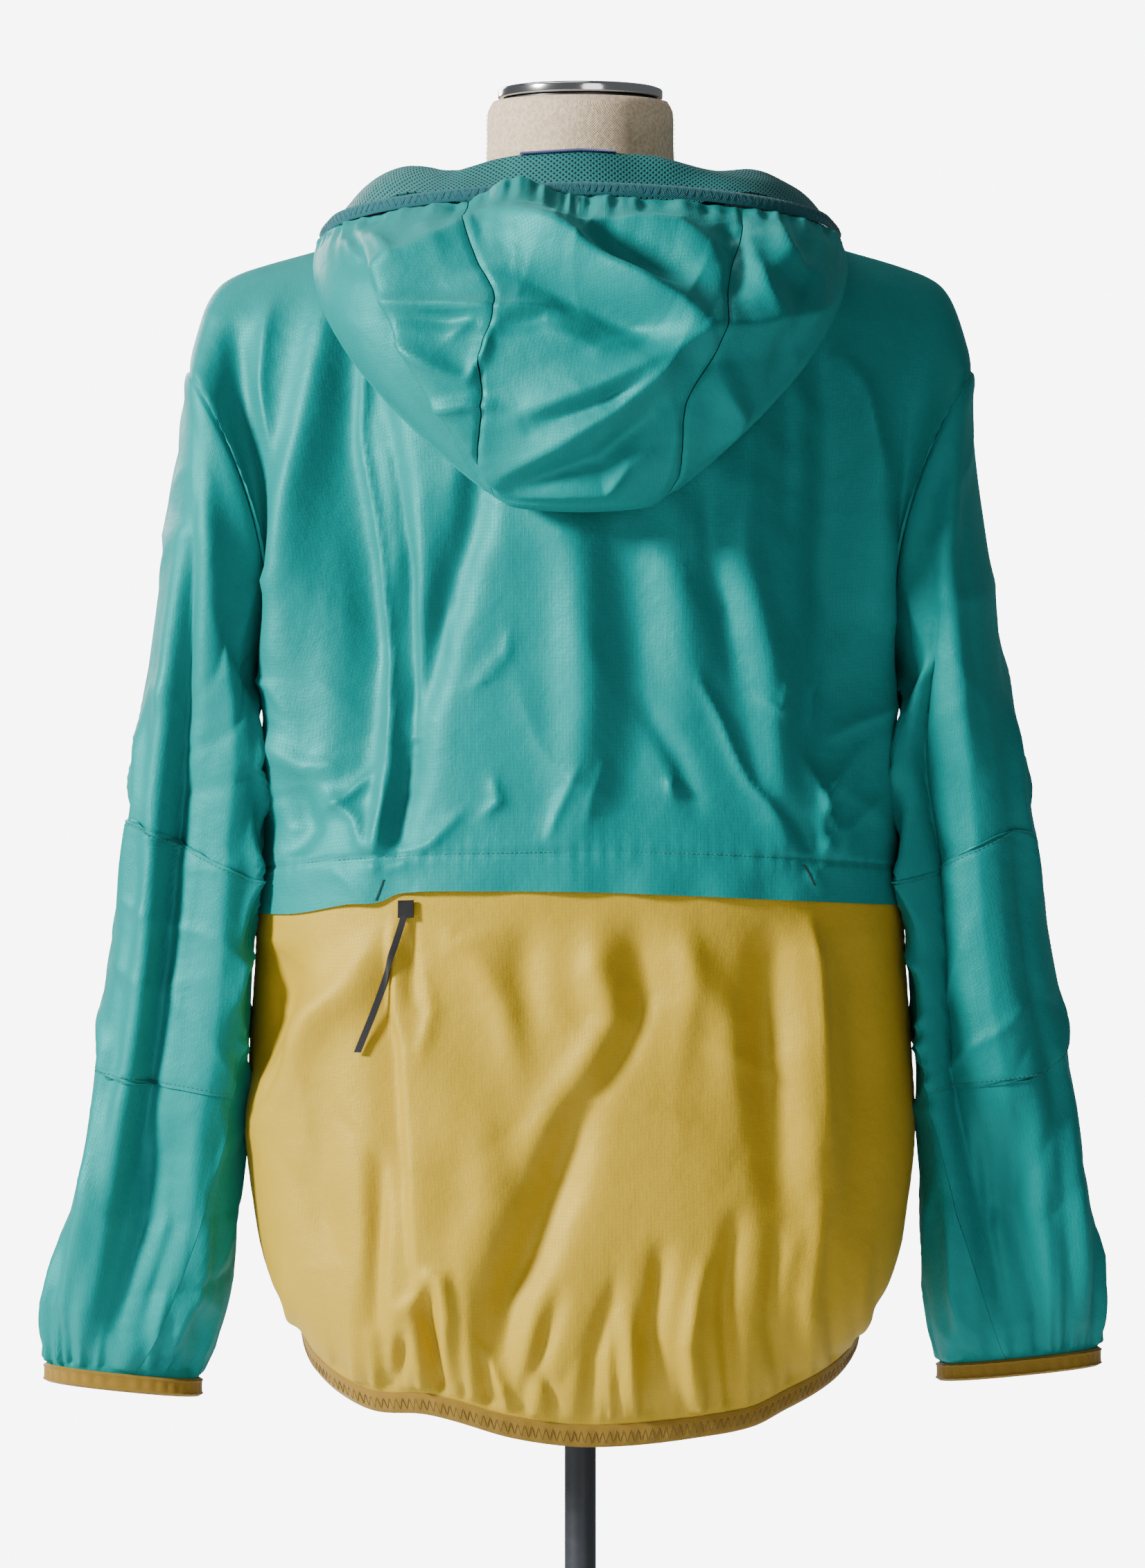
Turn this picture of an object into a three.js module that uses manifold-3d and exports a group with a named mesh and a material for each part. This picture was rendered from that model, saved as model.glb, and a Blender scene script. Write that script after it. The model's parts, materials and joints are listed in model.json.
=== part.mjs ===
// A hooded two-colour windbreaker worn by a limbless dress form on a pole and a round base.
// Millimetres, +Z up, the floor at z = 0. The jacket's back faces -Y and its front faces +Y.
import * as THREE from "three";
import { mergeVertices } from "three/addons/utils/BufferGeometryUtils.js";
import Module from "manifold-3d";

const wasm = await Module();
wasm.setup();

// Driving dimensions
const CLOTH = 1.6; // wall of the shell cloth
const PATCH_THICKNESS = 1;
const PATCH_GAP = 1;
const BINDING = 3.2; // folded elastic with the cloth's edge inside it
const SEAM_GAP = 0.3;
const LINING_THICKNESS = 1.2;
const TAPE_END = 925; // level of the lower end of the pocket's pull tape
const HEM_LEVEL = 748; // lower edge of the hem binding at the side seam
const HEM_BINDING_HEIGHT = 12;
const FLAP_EDGE_LEVEL = 1016; // free edge of the upper back where it hangs over the lower back
const FLAP_SEAM_LEVEL = 1043; // stitching that holds the upper back to the lower back
const FLAP_LIFT = 3.4; // how far the flap stands off the lower back
const ARMPIT_LEVEL = 1165;
const SHOULDER_SPAN = 100; // levels above the armpit run to the shoulder seam over this range
const TOP_LEVEL = ARMPIT_LEVEL + SHOULDER_SPAN;
const ZIP_HALF_WIDTH = 9.4;
const ZIP_THICKNESS = 1.4;
const ARMHOLE_DEPTH = 75; // how far the armhole bows backwards and forwards
const CUFF_BINDING_HEIGHT = 11.5;
const CUFF_GAP = 0.7; // the gathers' lower ends stay above the binding
const HOOD_BINDING_HEIGHT = 8.5;
const BINDING_GAP = 0.6;
const HEM_WAVES_BACK = 22;
const HEM_WAVES_FRONT = 10;
const CUFF_WAVES = 18;
const HOOD_WAVES = 28;
const ROUND = 0.84; // exponent of the rounded-box curve over the shoulder
const SECTION = 0.78; // exponent of the rounded-box sections round the body
const POLE_RADIUS = 10;
const BASE_RADIUS = 195;
const BASE_THICKNESS = 7;
const BASE_COLLAR_RADIUS = 22;
const POLE_HEAD_HEIGHT = 38; // the plate and boss that carry the form
const CAP_RADIUS = 52.5;
const NECK_TOP = 1534; // the linen ends here, under the steel cap
const SLIDER_LEVEL = 1222; // the front zip is closed up to here
const PULL_LENGTH = 24;

// Level of the side seam, half width, depth of the back and of the front, rise of the centre back.
const BODY = [
  { level: 748, half: 175, back: 109, front: 105, rise: -55 },
  { level: 760, half: 178, back: 113, front: 108, rise: -53 },
  { level: 776, half: 190, back: 125, front: 117, rise: -49 },
  { level: 800, half: 201, back: 133, front: 123, rise: -43 },
  { level: 835, half: 208, back: 136, front: 127, rise: -34 },
  { level: 880, half: 213, back: 134, front: 128, rise: -22 },
  { level: 930, half: 211, back: 131, front: 127, rise: -10 },
  { level: 990, half: 207, back: 128, front: 126, rise: 4 },
  { level: 1045, half: 205, back: 127, front: 126, rise: 15 },
  { level: 1105, half: 202, back: 127, front: 127, rise: 6 },
  { level: 1165, half: 199, back: 128, front: 128, rise: 0 },
];

// Shoulder seam and neckline, from the centre to the top of the armhole.
const BACK_TOP = [
  { u: 0, x: 0, y: -78, z: 1452 },
  { u: 0.12, x: 34, y: -71, z: 1454 },
  { u: 0.24, x: 61, y: -49, z: 1458 },
  { u: 0.32, x: 77, y: -20, z: 1459 },
  { u: 0.37, x: 83, y: 0, z: 1457 },
  { u: 0.56, x: 140, y: 0, z: 1447 },
  { u: 0.68, x: 174, y: 0, z: 1438 },
  { u: 0.77, x: 205, y: 0, z: 1429 },
  { u: 0.84, x: 226, y: 0, z: 1420 },
  { u: 0.89, x: 236, y: 0, z: 1408 },
  { u: 0.94, x: 243, y: 0, z: 1388 },
  { u: 1, x: 249, y: 0, z: 1362 },
];
const FRONT_NECK = [
  { u: 0, x: 0, y: 88, z: 1405 },
  { u: 0.12, x: 34, y: 81, z: 1412 },
  { u: 0.24, x: 60, y: 56, z: 1431 },
  { u: 0.32, x: 76, y: 25, z: 1448 },
  { u: 0.37, x: 83, y: 0, z: 1457 },
];
const NECK_POINT = 0.37; // where the neckline meets the shoulder seam
const FRONT_TOP = [...FRONT_NECK, ...BACK_TOP.slice(5)];

// One row for each ring of a sleeve: its outer and inner points, and its depth behind and before.
const SLEEVE = [
  { ring: 1, outX: 257, outZ: 1312, inX: 204, inZ: 1149, back: 80, front: 77, fold: 0, rightOut: -7, rightIn: 0 },
  { ring: 2, outX: 266, outZ: 1250, inX: 206.5, inZ: 1129, back: 81, front: 77, fold: 5, rightOut: -8, rightIn: 0 },
  { ring: 3, outX: 275, outZ: 1180, inX: 209, inZ: 1092, back: 79, front: 76, fold: 12, rightOut: -6, rightIn: 0 },
  { ring: 4, outX: 286, outZ: 1095, inX: 212.5, inZ: 1038, back: 76, front: 73, fold: 17, rightOut: -2, rightIn: 0 },
  { ring: 5, outX: 298, outZ: 1005, inX: 217, inZ: 975, back: 73, front: 70, fold: 17, rightOut: 0, rightIn: 0 },
  { ring: 6, outX: 308, outZ: 925, inX: 220, inZ: 906, back: 69, front: 67, fold: 12, rightOut: 3, rightIn: 0 },
  { ring: 7, outX: 321, outZ: 850, inX: 218, inZ: 840, back: 64, front: 63, fold: 4, rightOut: 1, rightIn: 0 },
  { ring: 8, outX: 333, outZ: 793, inX: 221, inZ: 785, back: 56, front: 56, fold: 0, rightOut: -4, rightIn: -3 },
  { ring: 9, outX: 340, outZ: 754, inX: 231, inZ: 746, back: 44, front: 44, fold: 0, rightOut: -9, rightIn: -9 },
  { ring: 10, outX: 340, outZ: 731, inX: 243, inZ: 721, back: 28, front: 29, fold: 0, rightOut: -10, rightIn: -14 },
];
// How far the back of a sleeve leans in against the body, by ring.
const LEAN = [
  { ring: 0, by: 0 },
  { ring: 1, by: 0 },
  { ring: 2, by: 10 },
  { ring: 3, by: 20 },
  { ring: 4, by: 17 },
  { ring: 6, by: 18 },
  { ring: 7, by: 6 },
  { ring: 8, by: 0 },
  { ring: 10, by: 0 },
];
const LAST_RING = SLEEVE.length;
const CUFF_RAISE = { left: 0, right: 10 }; // the right cuff hangs a little higher
const RAISE_FROM_RING = 5;
const FOLD_ANGLE = 104; // where the long crease runs down the back of a sleeve
const FOLD_WIDTH = 23; // in degrees round the sleeve
// Where the under-sleeve's two seams run: behind and before, in degrees from the outer side.
const UNDER_SEAM = [
  { ring: 0, behind: 150, before: 225 },
  { ring: 4, behind: 142, before: 228 },
  { ring: 7, behind: 122, before: 236 },
  { ring: 10, behind: 98, before: 244 },
];

// Elbow patch: which of the sleeve's columns it starts at on the outer side, at each of its rings.
const PATCH = [
  { ring: 4.12, left: 6, right: 7 },
  { ring: 4.5, left: 6, right: 7 },
  { ring: 5.3, left: 6, right: 7 },
  { ring: 5.8, left: 6, right: 7 },
  { ring: 6.1, left: 6, right: 7 },
];

// One row for each level of the lowered hood, from its face opening down to the fold at its foot.
const HOOD = [
  { row: 0, midZ: 1465, edgeZ: 1442, half: 163, backY: -119, edgeY: -38, frontY: -98, seamL: -0.35, seamR: 0.49 },
  { row: 1, midZ: 1446, edgeZ: 1429, half: 167, backY: -152, edgeY: -54, frontY: -104, seamL: -0.35, seamR: 0.48 },
  { row: 2, midZ: 1423, edgeZ: 1411, half: 165, backY: -176, edgeY: -74, frontY: -113, seamL: -0.32, seamR: 0.46 },
  { row: 3, midZ: 1395, edgeZ: 1389, half: 157, backY: -190, edgeY: -93, frontY: -121, seamL: -0.28, seamR: 0.46 },
  { row: 4, midZ: 1361, edgeZ: 1360, half: 139, backY: -196, edgeY: -110, frontY: -128, seamL: -0.36, seamR: 0.46 },
  { row: 5, midZ: 1329, edgeZ: 1331, half: 114, backY: -193, edgeY: -124, frontY: -133, seamL: -0.42, seamR: 0.45 },
  { row: 6, midZ: 1301, edgeZ: 1304, half: 86, backY: -183, edgeY: -133, frontY: -137, seamL: -0.57, seamR: 0.58 },
  { row: 7, midZ: 1280, edgeZ: 1285, half: 63, backY: -169, edgeY: -139, frontY: -141, seamL: -0.79, seamR: 0.79 },
  { row: 8, midZ: 1267, edgeZ: 1273, half: 47, backY: -155, edgeY: -145, frontY: -147, seamL: -0.98, seamR: 0.98 },
];
const LAST_HOOD_ROW = 8;
const HOOD_FRONT_SEAM = 0.42; // where the hood's seams run on the side that lies on the back

// The hood's lining round the neck: angle from the centre back, then radius and height of
// the neck seam, the crest of the roll, a point past it, and the free edge.
const COLLAR = [
  { turn: 0, seamR: 80, seamZ: 1452.8, crestR: 88, crestZ: 1495, pastR: 103, pastZ: 1474, edgeR: 115, edgeZ: 1444 },
  { turn: 30, seamR: 80, seamZ: 1455.8, crestR: 90, crestZ: 1492, pastR: 106, pastZ: 1476, edgeR: 119, edgeZ: 1457 },
  { turn: 52, seamR: 80, seamZ: 1459.4, crestR: 98, crestZ: 1484, pastR: 119, pastZ: 1480, edgeR: 136, edgeZ: 1470 },
  { turn: 72, seamR: 81, seamZ: 1460.4, crestR: 106, crestZ: 1489, pastR: 134, pastZ: 1480, edgeR: 158, edgeZ: 1454 },
  { turn: 90, seamR: 83, seamZ: 1458.4, crestR: 108, crestZ: 1487, pastR: 138, pastZ: 1477, edgeR: 162, edgeZ: 1450 },
  { turn: 108, seamR: 81, seamZ: 1452.2, crestR: 105, crestZ: 1478, pastR: 128, pastZ: 1470, edgeR: 147, edgeZ: 1446 },
  { turn: 133, seamR: 84, seamZ: 1434, crestR: 100, crestZ: 1464, pastR: 115, pastZ: 1455, edgeR: 126, edgeZ: 1436 },
  { turn: 157, seamR: 89.8, seamZ: 1411.2, crestR: 100, crestZ: 1450, pastR: 110, pastZ: 1441, edgeR: 116, edgeZ: 1424 },
  { turn: 180, seamR: 88.5, seamZ: 1406, crestR: 101, crestZ: 1444, pastR: 109, pastZ: 1435, edgeR: 114, edgeZ: 1419 },
];
const COLLAR_END = 178.8; // the two ends stop in front, just clear of each other

// The dress form's rings.
const FORM = [
  { z: 790, half: 138, back: 84, front: 84, power: 1 },
  { z: 803, half: 147, back: 91, front: 90, power: 0.95 },
  { z: 850, half: 158, back: 99, front: 97, power: 0.92 },
  { z: 930, half: 156, back: 94, front: 97, power: 0.92 },
  { z: 1010, half: 149, back: 86, front: 96, power: 0.92 },
  { z: 1110, half: 161, back: 94, front: 107, power: 0.92 },
  { z: 1215, half: 178, back: 105, front: 114, power: 0.92 },
  { z: 1300, half: 192, back: 102, front: 109, power: 0.96 },
  { z: 1355, half: 204, back: 92, front: 94, power: 1.02 },
  { z: 1390, half: 212, back: 78, front: 78, power: 1.15 },
  { z: 1413, half: 213, back: 71, front: 70, power: 1.35 },
  { z: 1426.6, half: 203, back: 68, front: 67, power: 1.6 },
  { z: 1436.6, half: 171, back: 66, front: 65, power: 2 },
  { z: 1442.5, half: 129, back: 65, front: 64, power: 2 },
  { z: 1449, half: 86, back: 64, front: 63, power: 1.6 },
  { z: 1459, half: 68, back: 63, front: 62, power: 1.15 },
  { z: 1475, half: 62, back: 61, front: 61, power: 1 },
  { z: 1505, half: 60, back: 60, front: 60, power: 1 },
  { z: 1528, half: 59.5, back: 59.5, front: 59.5, power: 1 },
  { z: NECK_TOP, half: 56.5, back: 56.5, front: 56.5, power: 1 },
];

// The longest folds of the upper back and the lower back: a soft trough or ridge from one point
// to another, its half width and its height, below zero for a trough.
const BACK_FOLDS = [
  { x1: -186, z1: 1262, x2: -192, z2: 1060, width: 15, height: 7 },
  { x1: -150, z1: 1330, x2: -160, z2: 1080, width: 17, height: -12 },
  { x1: -128, z1: 1250, x2: -120, z2: 1080, width: 15, height: 6 },
  { x1: -214, z1: 1385, x2: -203, z2: 1270, width: 14, height: -10 },
  { x1: -170, z1: 1395, x2: -172, z2: 1290, width: 16, height: 6 },
  { x1: 150, z1: 1370, x2: 176, z2: 1240, width: 15, height: -8 },
  { x1: 196, z1: 1250, x2: 200, z2: 1060, width: 15, height: 6 },
  { x1: 150, z1: 1190, x2: 140, z2: 1060, width: 18, height: -8 },
  { x1: -60, z1: 980, x2: -30, z2: 800, width: 24, height: -6 },
  { x1: -175, z1: 960, x2: -190, z2: 830, width: 20, height: 6 },
  { x1: 120, z1: 1000, x2: 135, z2: 830, width: 22, height: -7 },
];

// The longest creases of the hood's seen side, as seen from behind.
const HOOD_FOLDS = [
  { x1: -46, z1: 1442, x2: 76, z2: 1387, width: 11, height: 6 },
  { x1: -128, z1: 1398, x2: 78, z2: 1398, width: 11, height: -4 },
  { x1: -34, z1: 1330, x2: 68, z2: 1372, width: 11, height: 6 },
  { x1: -46, z1: 1280, x2: 40, z2: 1316, width: 10, height: 5 },
  { x1: -140, z1: 1442, x2: -108, z2: 1364, width: 10, height: -7 },
  { x1: -112, z1: 1372, x2: -62, z2: 1290, width: 10, height: -7 },
  { x1: 96, z1: 1440, x2: 118, z2: 1352, width: 13, height: -5 },
];

const clamp = (value, low, high) => Math.min(high, Math.max(low, value));
const radians = (degrees) => (degrees * Math.PI) / 180;
const power = (value, exponent) => Math.sign(value) * Math.abs(value) ** exponent;
const mix = (a, b, t) => a + (b - a) * t;
const steps = (from, to, count) => Array.from({ length: count + 1 }, (_, i) => mix(from, to, i / count));

// A column of a table where another column has a value, on a smooth curve through its rows.
function read(table, by, value, key) {
  const last = table.length - 1;
  let i = 0;
  while (i < last - 1 && value > table[i + 1][by]) i += 1;
  const slope = (j) => {
    const [a, b] = [table[Math.max(j - 1, 0)], table[Math.min(j + 1, last)]];
    return (b[key] - a[key]) / (b[by] - a[by]);
  };
  const span = table[i + 1][by] - table[i][by];
  const t = clamp((value - table[i][by]) / span, 0, 1);
  const [t2, t3] = [t * t, t * t * t];
  return (
    (2 * t3 - 3 * t2 + 1) * table[i][key] +
    (t3 - 2 * t2 + t) * span * slope(i) +
    (3 * t2 - 2 * t3) * table[i + 1][key] +
    (t3 - t2) * span * slope(i + 1)
  );
}

// A point of the body's outer surface. u runs from the left side seam to the right one, and
// face is -1 for the back and 1 for the front.
function body(u, level, face) {
  const side = Math.sign(u);
  const a = Math.min(Math.abs(u), 1);
  const turn = (Math.PI / 2) * a ** 1.45;
  const low = Math.min(level, ARMPIT_LEVEL);
  const ring = (key) => read(BODY, "level", low, key);
  const depth = face < 0 ? ring("back") : ring("front");
  const rise = face < 0 ? ring("rise") * (1 - a * a) : 0;
  const base = [
    side * ring("half") * Math.sin(turn) ** SECTION,
    face * depth * Math.cos(turn) ** SECTION,
    low + rise,
  ];
  if (level <= ARMPIT_LEVEL) return base;
  const v = clamp((level - ARMPIT_LEVEL) / SHOULDER_SPAN, 0, 1);
  const climb = (Math.PI / 2) * (v - (0.7 * Math.sin(2 * Math.PI * v)) / (2 * Math.PI));
  const table = face < 0 ? BACK_TOP : FRONT_TOP;
  const top = (key) => read(table, "u", a, key);
  const s = Math.sin(climb) ** ROUND;
  const shoulder = Math.max(Math.cos(climb), 0) ** ROUND;
  const chest = 1 - s * s;
  const steep = face > 0 ? clamp(1 - a / NECK_POINT, 0, 1) : 0;
  const inwards = mix(shoulder, chest, steep);
  const bow = ARMHOLE_DEPTH * Math.sin(Math.PI * v) * a ** 8;
  const across = s ** (1 + 1.2 * a * a);
  return [
    mix(base[0], side * top("x"), across) - side * 6 * Math.sin(Math.PI * s) * a ** 4,
    mix(top("y"), base[1], inwards) + face * bow,
    mix(base[2], top("z"), s),
  ];
}

// Front panels leave room for the zip: a runs from the zip to the side seam.
function front(side, a, level) {
  const [x, y, z] = body(a, level, 1);
  const shift = (ZIP_HALF_WIDTH + SEAM_GAP) * clamp(1 - a / NECK_POINT, 0, 1);
  return [side * (x + shift), y, z];
}

// The height of soft folds at a place seen from behind.
function foldsAt(folds, x, z) {
  let sum = 0;
  for (const fold of folds) {
    const [dx, dz] = [fold.x2 - fold.x1, fold.z2 - fold.z1];
    const along = ((x - fold.x1) * dx + (z - fold.z1) * dz) / (dx * dx + dz * dz);
    const off = Math.hypot(x - fold.x1 - along * dx, z - fold.z1 - along * dz);
    const ends = Math.sin(Math.PI * clamp(along, 0, 1)) ** 0.6;
    sum += fold.height * Math.exp(-((off / fold.width) ** 2)) * ends;
  }
  return sum;
}

// A point of a sleeve's outer surface. angle is 0 on the outer side, 90 behind, 180 inside.
function sleeveRing(side, angle, ring) {
  if (ring < 1) {
    const turned = angle <= 180 ? 1 - angle / 180 : (angle - 180) / 180;
    return body(side, ARMPIT_LEVEL + SHOULDER_SPAN * turned, angle <= 180 ? -1 : 1);
  }
  const row = SLEEVE[Math.min(ring, LAST_RING) - 1];
  const turn = radians(angle);
  const out = power(Math.cos(turn), 0.86);
  const aside = power(Math.sin(turn), 0.86);
  const raise = CUFF_RAISE[side < 0 ? "left" : "right"] * clamp((ring - RAISE_FROM_RING) / 4, 0, 1);
  const outX = row.outX + (side > 0 ? row.rightOut : 0);
  const inX = row.inX + (side > 0 ? row.rightIn : 0);
  const lean = read(LEAN, "ring", ring, "by") * Math.max(aside, 0) * clamp(0.5 - out, 0, 1);
  return [
    side * ((outX + inX) / 2 + ((outX - inX) / 2) * out - lean),
    -aside * (aside > 0 ? row.back : row.front),
    (row.outZ + row.inZ) / 2 + ((row.outZ - row.inZ) / 2) * out + raise,
  ];
}
function sleeve(side, angle, ring) {
  const i = clamp(Math.floor(ring), 0, LAST_RING - 1);
  const t = ring - i;
  const turned = ((angle % 360) + 360) % 360;
  const [a, b, c, d] = [i - 1, i, i + 1, i + 2].map((k) => sleeveRing(side, turned, clamp(k, 0, LAST_RING)));
  return b.map(
    (_, k) =>
      0.5 *
      (2 * b[k] +
        (c[k] - a[k]) * t +
        (2 * a[k] - 5 * b[k] + 4 * c[k] - d[k]) * t * t +
        (3 * b[k] - a[k] - 3 * c[k] + d[k]) * t * t * t),
  );
}
const SLEEVE_FOLD = [{ ring: 0, fold: 0 }, ...SLEEVE];
const sleeveFold = (angle, ring) =>
  -read(SLEEVE_FOLD, "ring", ring, "fold") * Math.exp(-(((angle - FOLD_ANGLE) / FOLD_WIDTH) ** 2));

// A point of the hood's outer surface. q runs across the side that is seen from -1 to 1, and
// past that round its edges and over the side that lies on the back.
function hood(q, row) {
  const t = clamp(row, 0, LAST_HOOD_ROW);
  const at = (key) => read(HOOD, "row", t, key);
  const across = Math.abs(q) <= 1 ? q : Math.sign(q) * (2 - Math.abs(q));
  const turn = (Math.PI / 2) * Math.abs(across) ** 1.3;
  const middle = Math.abs(q) <= 1 ? at("backY") : at("frontY");
  return [
    Math.sign(q) * at("half") * Math.sin(turn) ** 0.9,
    mix(at("edgeY"), middle, Math.cos(turn) ** (Math.abs(q) <= 1 ? 0.9 : 0.75)),
    mix(at("midZ"), at("edgeZ"), across * across),
  ];
}

// A point of the lining's roll round the neck: w is 0 at the neck seam and 3 at the free edge.
function collar(turn, w) {
  const a = Math.abs(turn);
  const at = (key) => read(COLLAR, "turn", a, key);
  const profile = ["seam", "crest", "past", "edge"].map((key, i) => ({ w: i, r: at(key + "R"), z: at(key + "Z") }));
  const radius = read(profile, "w", w, "r");
  const angle = radians(turn);
  return [radius * Math.sin(angle), -radius * Math.cos(angle), read(profile, "w", w, "z")];
}

// The path of the hood's face opening, from the centre front round the back and to the front.
function opening(s) {
  const a = Math.abs(s);
  const side = Math.sign(s) || 1;
  const behind = hood(side * clamp(a, 0, 1), 0);
  if (a <= 1) return behind;
  const start = 84;
  const point = collar(side * mix(start, COLLAR_END, a - 1), 3);
  const joined = clamp((a - 1) / 0.25, 0, 1);
  const out = 5 * Math.sin(Math.PI * joined);
  const path = point.map((value, k) => mix(behind[k], value, joined * joined * (3 - 2 * joined)));
  const away = unit([path[0], path[1], 0]);
  return plus(path, scaled(away, out));
}

const subtract = (a, b) => a.map((value, k) => value - b[k]);
const scaled = (a, f) => a.map((value) => value * f);
const plus = (a, b) => a.map((value, k) => value + b[k]);
const cross = (a, b) => [a[1] * b[2] - a[2] * b[1], a[2] * b[0] - a[0] * b[2], a[0] * b[1] - a[1] * b[0]];
const unit = (a) => scaled(a, 1 / Math.hypot(...a));

// The unit normal of a surface at (u, v), by small steps that stay inside its range.
function normalOf(surface, u, v, range, facing) {
  const du = (range.u[1] - range.u[0]) / 400;
  const dv = (range.v[1] - range.v[0]) / 400;
  const [u0, u1] = [Math.max(u - du, range.u[0]), Math.min(u + du, range.u[1])];
  const [v0, v1] = [Math.max(v - dv, range.v[0]), Math.min(v + dv, range.v[1])];
  const across = subtract(surface(u1, v), surface(u0, v));
  const up = subtract(surface(u, v1), surface(u, v0));
  return scaled(unit(cross(across, up)), facing);
}

// Triangles between two rows of points with any counts, each row a list of { id, u }.
function between(below, above, add) {
  if (below.length === above.length) {
    for (let i = 0; i < below.length - 1; i += 1) {
      add(below[i].id, below[i + 1].id, above[i].id);
      add(below[i + 1].id, above[i + 1].id, above[i].id);
    }
    return;
  }
  let [i, j] = [0, 0];
  while (i < below.length - 1 || j < above.length - 1) {
    const onBelow = j === above.length - 1 || (i < below.length - 1 && below[i + 1].u <= above[j + 1].u + 1e-9);
    if (onBelow) {
      add(below[i].id, below[i + 1].id, above[j].id);
      i += 1;
    } else {
      add(below[i].id, above[j + 1].id, above[j].id);
      j += 1;
    }
  }
}

// A cloth wall: rows of outer points, each { v, us }, and the same points moved in by the wall's
// thickness. facing is 1 where across x up points out, else -1. A closed wall runs all round.
function wall({ surface, rows, facing, thickness, lift = () => 0, closed = false, period = 360, trim = (p) => p, reach }) {
  const positions = [];
  const triangles = [];
  const ends = [Math.min(...rows.map((r) => r.us[0])), Math.max(...rows.map((r) => r.us.at(-1)))];
  const probe = reach || { u: closed ? [-period, 2 * period] : ends, v: [rows[0].v, rows.at(-1).v] };
  const raised = (u, v) => {
    const height = lift(u, v);
    const point = surface(u, v);
    return height === 0 ? point : plus(point, scaled(normalOf(surface, u, v, probe, facing), height));
  };
  const place = (point) => positions.push(...point) / 3 - 1;
  const layers = rows.map(({ v, us }) => {
    const line = us.map((u) => {
      const outer = trim(raised(u, v));
      const depth = typeof thickness === "number" ? thickness : thickness(u, v);
      const inner = trim(plus(outer, scaled(normalOf(raised, u, v, probe, facing), -depth)));
      return { outer: place(outer), inner: place(inner), u };
    });
    return closed ? [...line, { ...line[0], u: line[0].u + period }] : line;
  });
  const add = (a, b, c) => triangles.push(...(facing > 0 ? [a, b, c] : [a, c, b]));
  const pick = (line, key) => line.map((p) => ({ id: p[key], u: (p.u - line[0].u) / (line.at(-1).u - line[0].u) }));
  for (let j = 0; j < layers.length - 1; j += 1) {
    between(pick(layers[j], "outer"), pick(layers[j + 1], "outer"), add);
    between(pick(layers[j], "inner"), pick(layers[j + 1], "inner"), (a, b, c) => add(a, c, b));
  }
  const strip = (line, flip) => {
    for (let i = 0; i < line.length - 1; i += 1) {
      const [a, b, c, d] = [line[i].outer, line[i + 1].outer, line[i + 1].inner, line[i].inner];
      if (flip) {
        add(a, b, c);
        add(a, c, d);
      } else {
        add(a, c, b);
        add(a, d, c);
      }
    }
  };
  strip(layers[0], false);
  strip(layers.at(-1), true);
  if (!closed) {
    strip(layers.map((line) => line[0]), true);
    strip(layers.map((line) => line.at(-1)), false);
  }
  return geometryOf(positions, triangles);
}

function geometryOf(positions, triangles) {
  const geometry = new THREE.BufferGeometry();
  geometry.setAttribute("position", new THREE.Float32BufferAttribute(positions, 3));
  geometry.setIndex(triangles);
  geometry.computeVertexNormals();
  return geometry;
}

function toSolid(geometry) {
  const bare = geometry.clone();
  for (const name of ["normal", "uv"]) bare.deleteAttribute(name);
  const merged = mergeVertices(bare, 1e-4);
  const [vertProperties, triVerts] = [merged.attributes.position.array, new Uint32Array(merged.index.array)];
  return new wasm.Manifold(new wasm.Mesh({ numProp: 3, vertProperties, triVerts }));
}

function fromSolid(solid) {
  const mesh = solid.getMesh();
  return geometryOf(Array.from(mesh.vertProperties), Array.from(mesh.triVerts));
}

// Finishes
const finish = (color, roughness, metalness = 0) => new THREE.MeshStandardMaterial({ color, roughness, metalness });
const TEAL = finish(0x1f8a80, 0.5);
const GOLD = finish(0xb8a03e, 0.5);
const GOLD_ELASTIC = finish(0x9c8424, 0.8);
const TEAL_ELASTIC = finish(0x2a7a86, 0.8);
const LINING = finish(0x12797a, 0.75);
const LINEN = finish(0xc9b493, 0.95);
const BLACK = finish(0x1a1b1e, 0.5);
const CHROME = finish(0xc8c8cc, 0.15, 1);
const NAVY = finish(0x38487c, 0.8);
const POLE_BLACK = finish(0x24262b, 0.4);

const jacket = new THREE.Group();
const stand = new THREE.Group();
const windbreaker = new THREE.Group();
windbreaker.add(jacket, stand);

function add(group, name, geometry, material) {
  const mesh = new THREE.Mesh(geometry, material);
  mesh.name = name;
  group.add(mesh);
  return mesh;
}

// Levels of the body's rows. The armhole rows are shared by the body and the sleeves.
const ARMHOLE_ROWS = 9;
const armholeLevels = steps(ARMPIT_LEVEL, TOP_LEVEL, ARMHOLE_ROWS);
const UPPER_LEVELS = [1070, 1100, 1133];
const HEM_TOP = HEM_LEVEL + HEM_BINDING_HEIGHT + SEAM_GAP;
const GATHERED_LEVELS = [HEM_TOP, HEM_TOP + 15, HEM_TOP + 38];
const LOWER_LEVELS = [840, 890, 945, 990];
const EDGE = 0.0002; // half of the gap at a side seam, as a share of a panel's half width
const ACROSS = [0, 0.08, 0.16, 0.24, 0.32, 0.38, 0.47, 0.57, 0.68, 0.79, 0.9, 1 - EDGE]; // columns of a half
const SHOULDER_TRIM = 0.05; // keeps the last row clear of the shoulder seam, in levels
const behindSeam = ([x, y, z]) => [x, Math.min(y, -SEAM_GAP / 2), z];
const beforeSeam = ([x, y, z]) => [x, Math.max(y, SEAM_GAP / 2), z];

const waves = (u, count) => Math.cos(2 * Math.PI * count * u);
// Small gathers that fade out above the binding.
const gathers = (u, count, height, reach) => waves(u, count) * 2.4 * Math.max(0, 1 - height / reach) ** 0.8;

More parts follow.
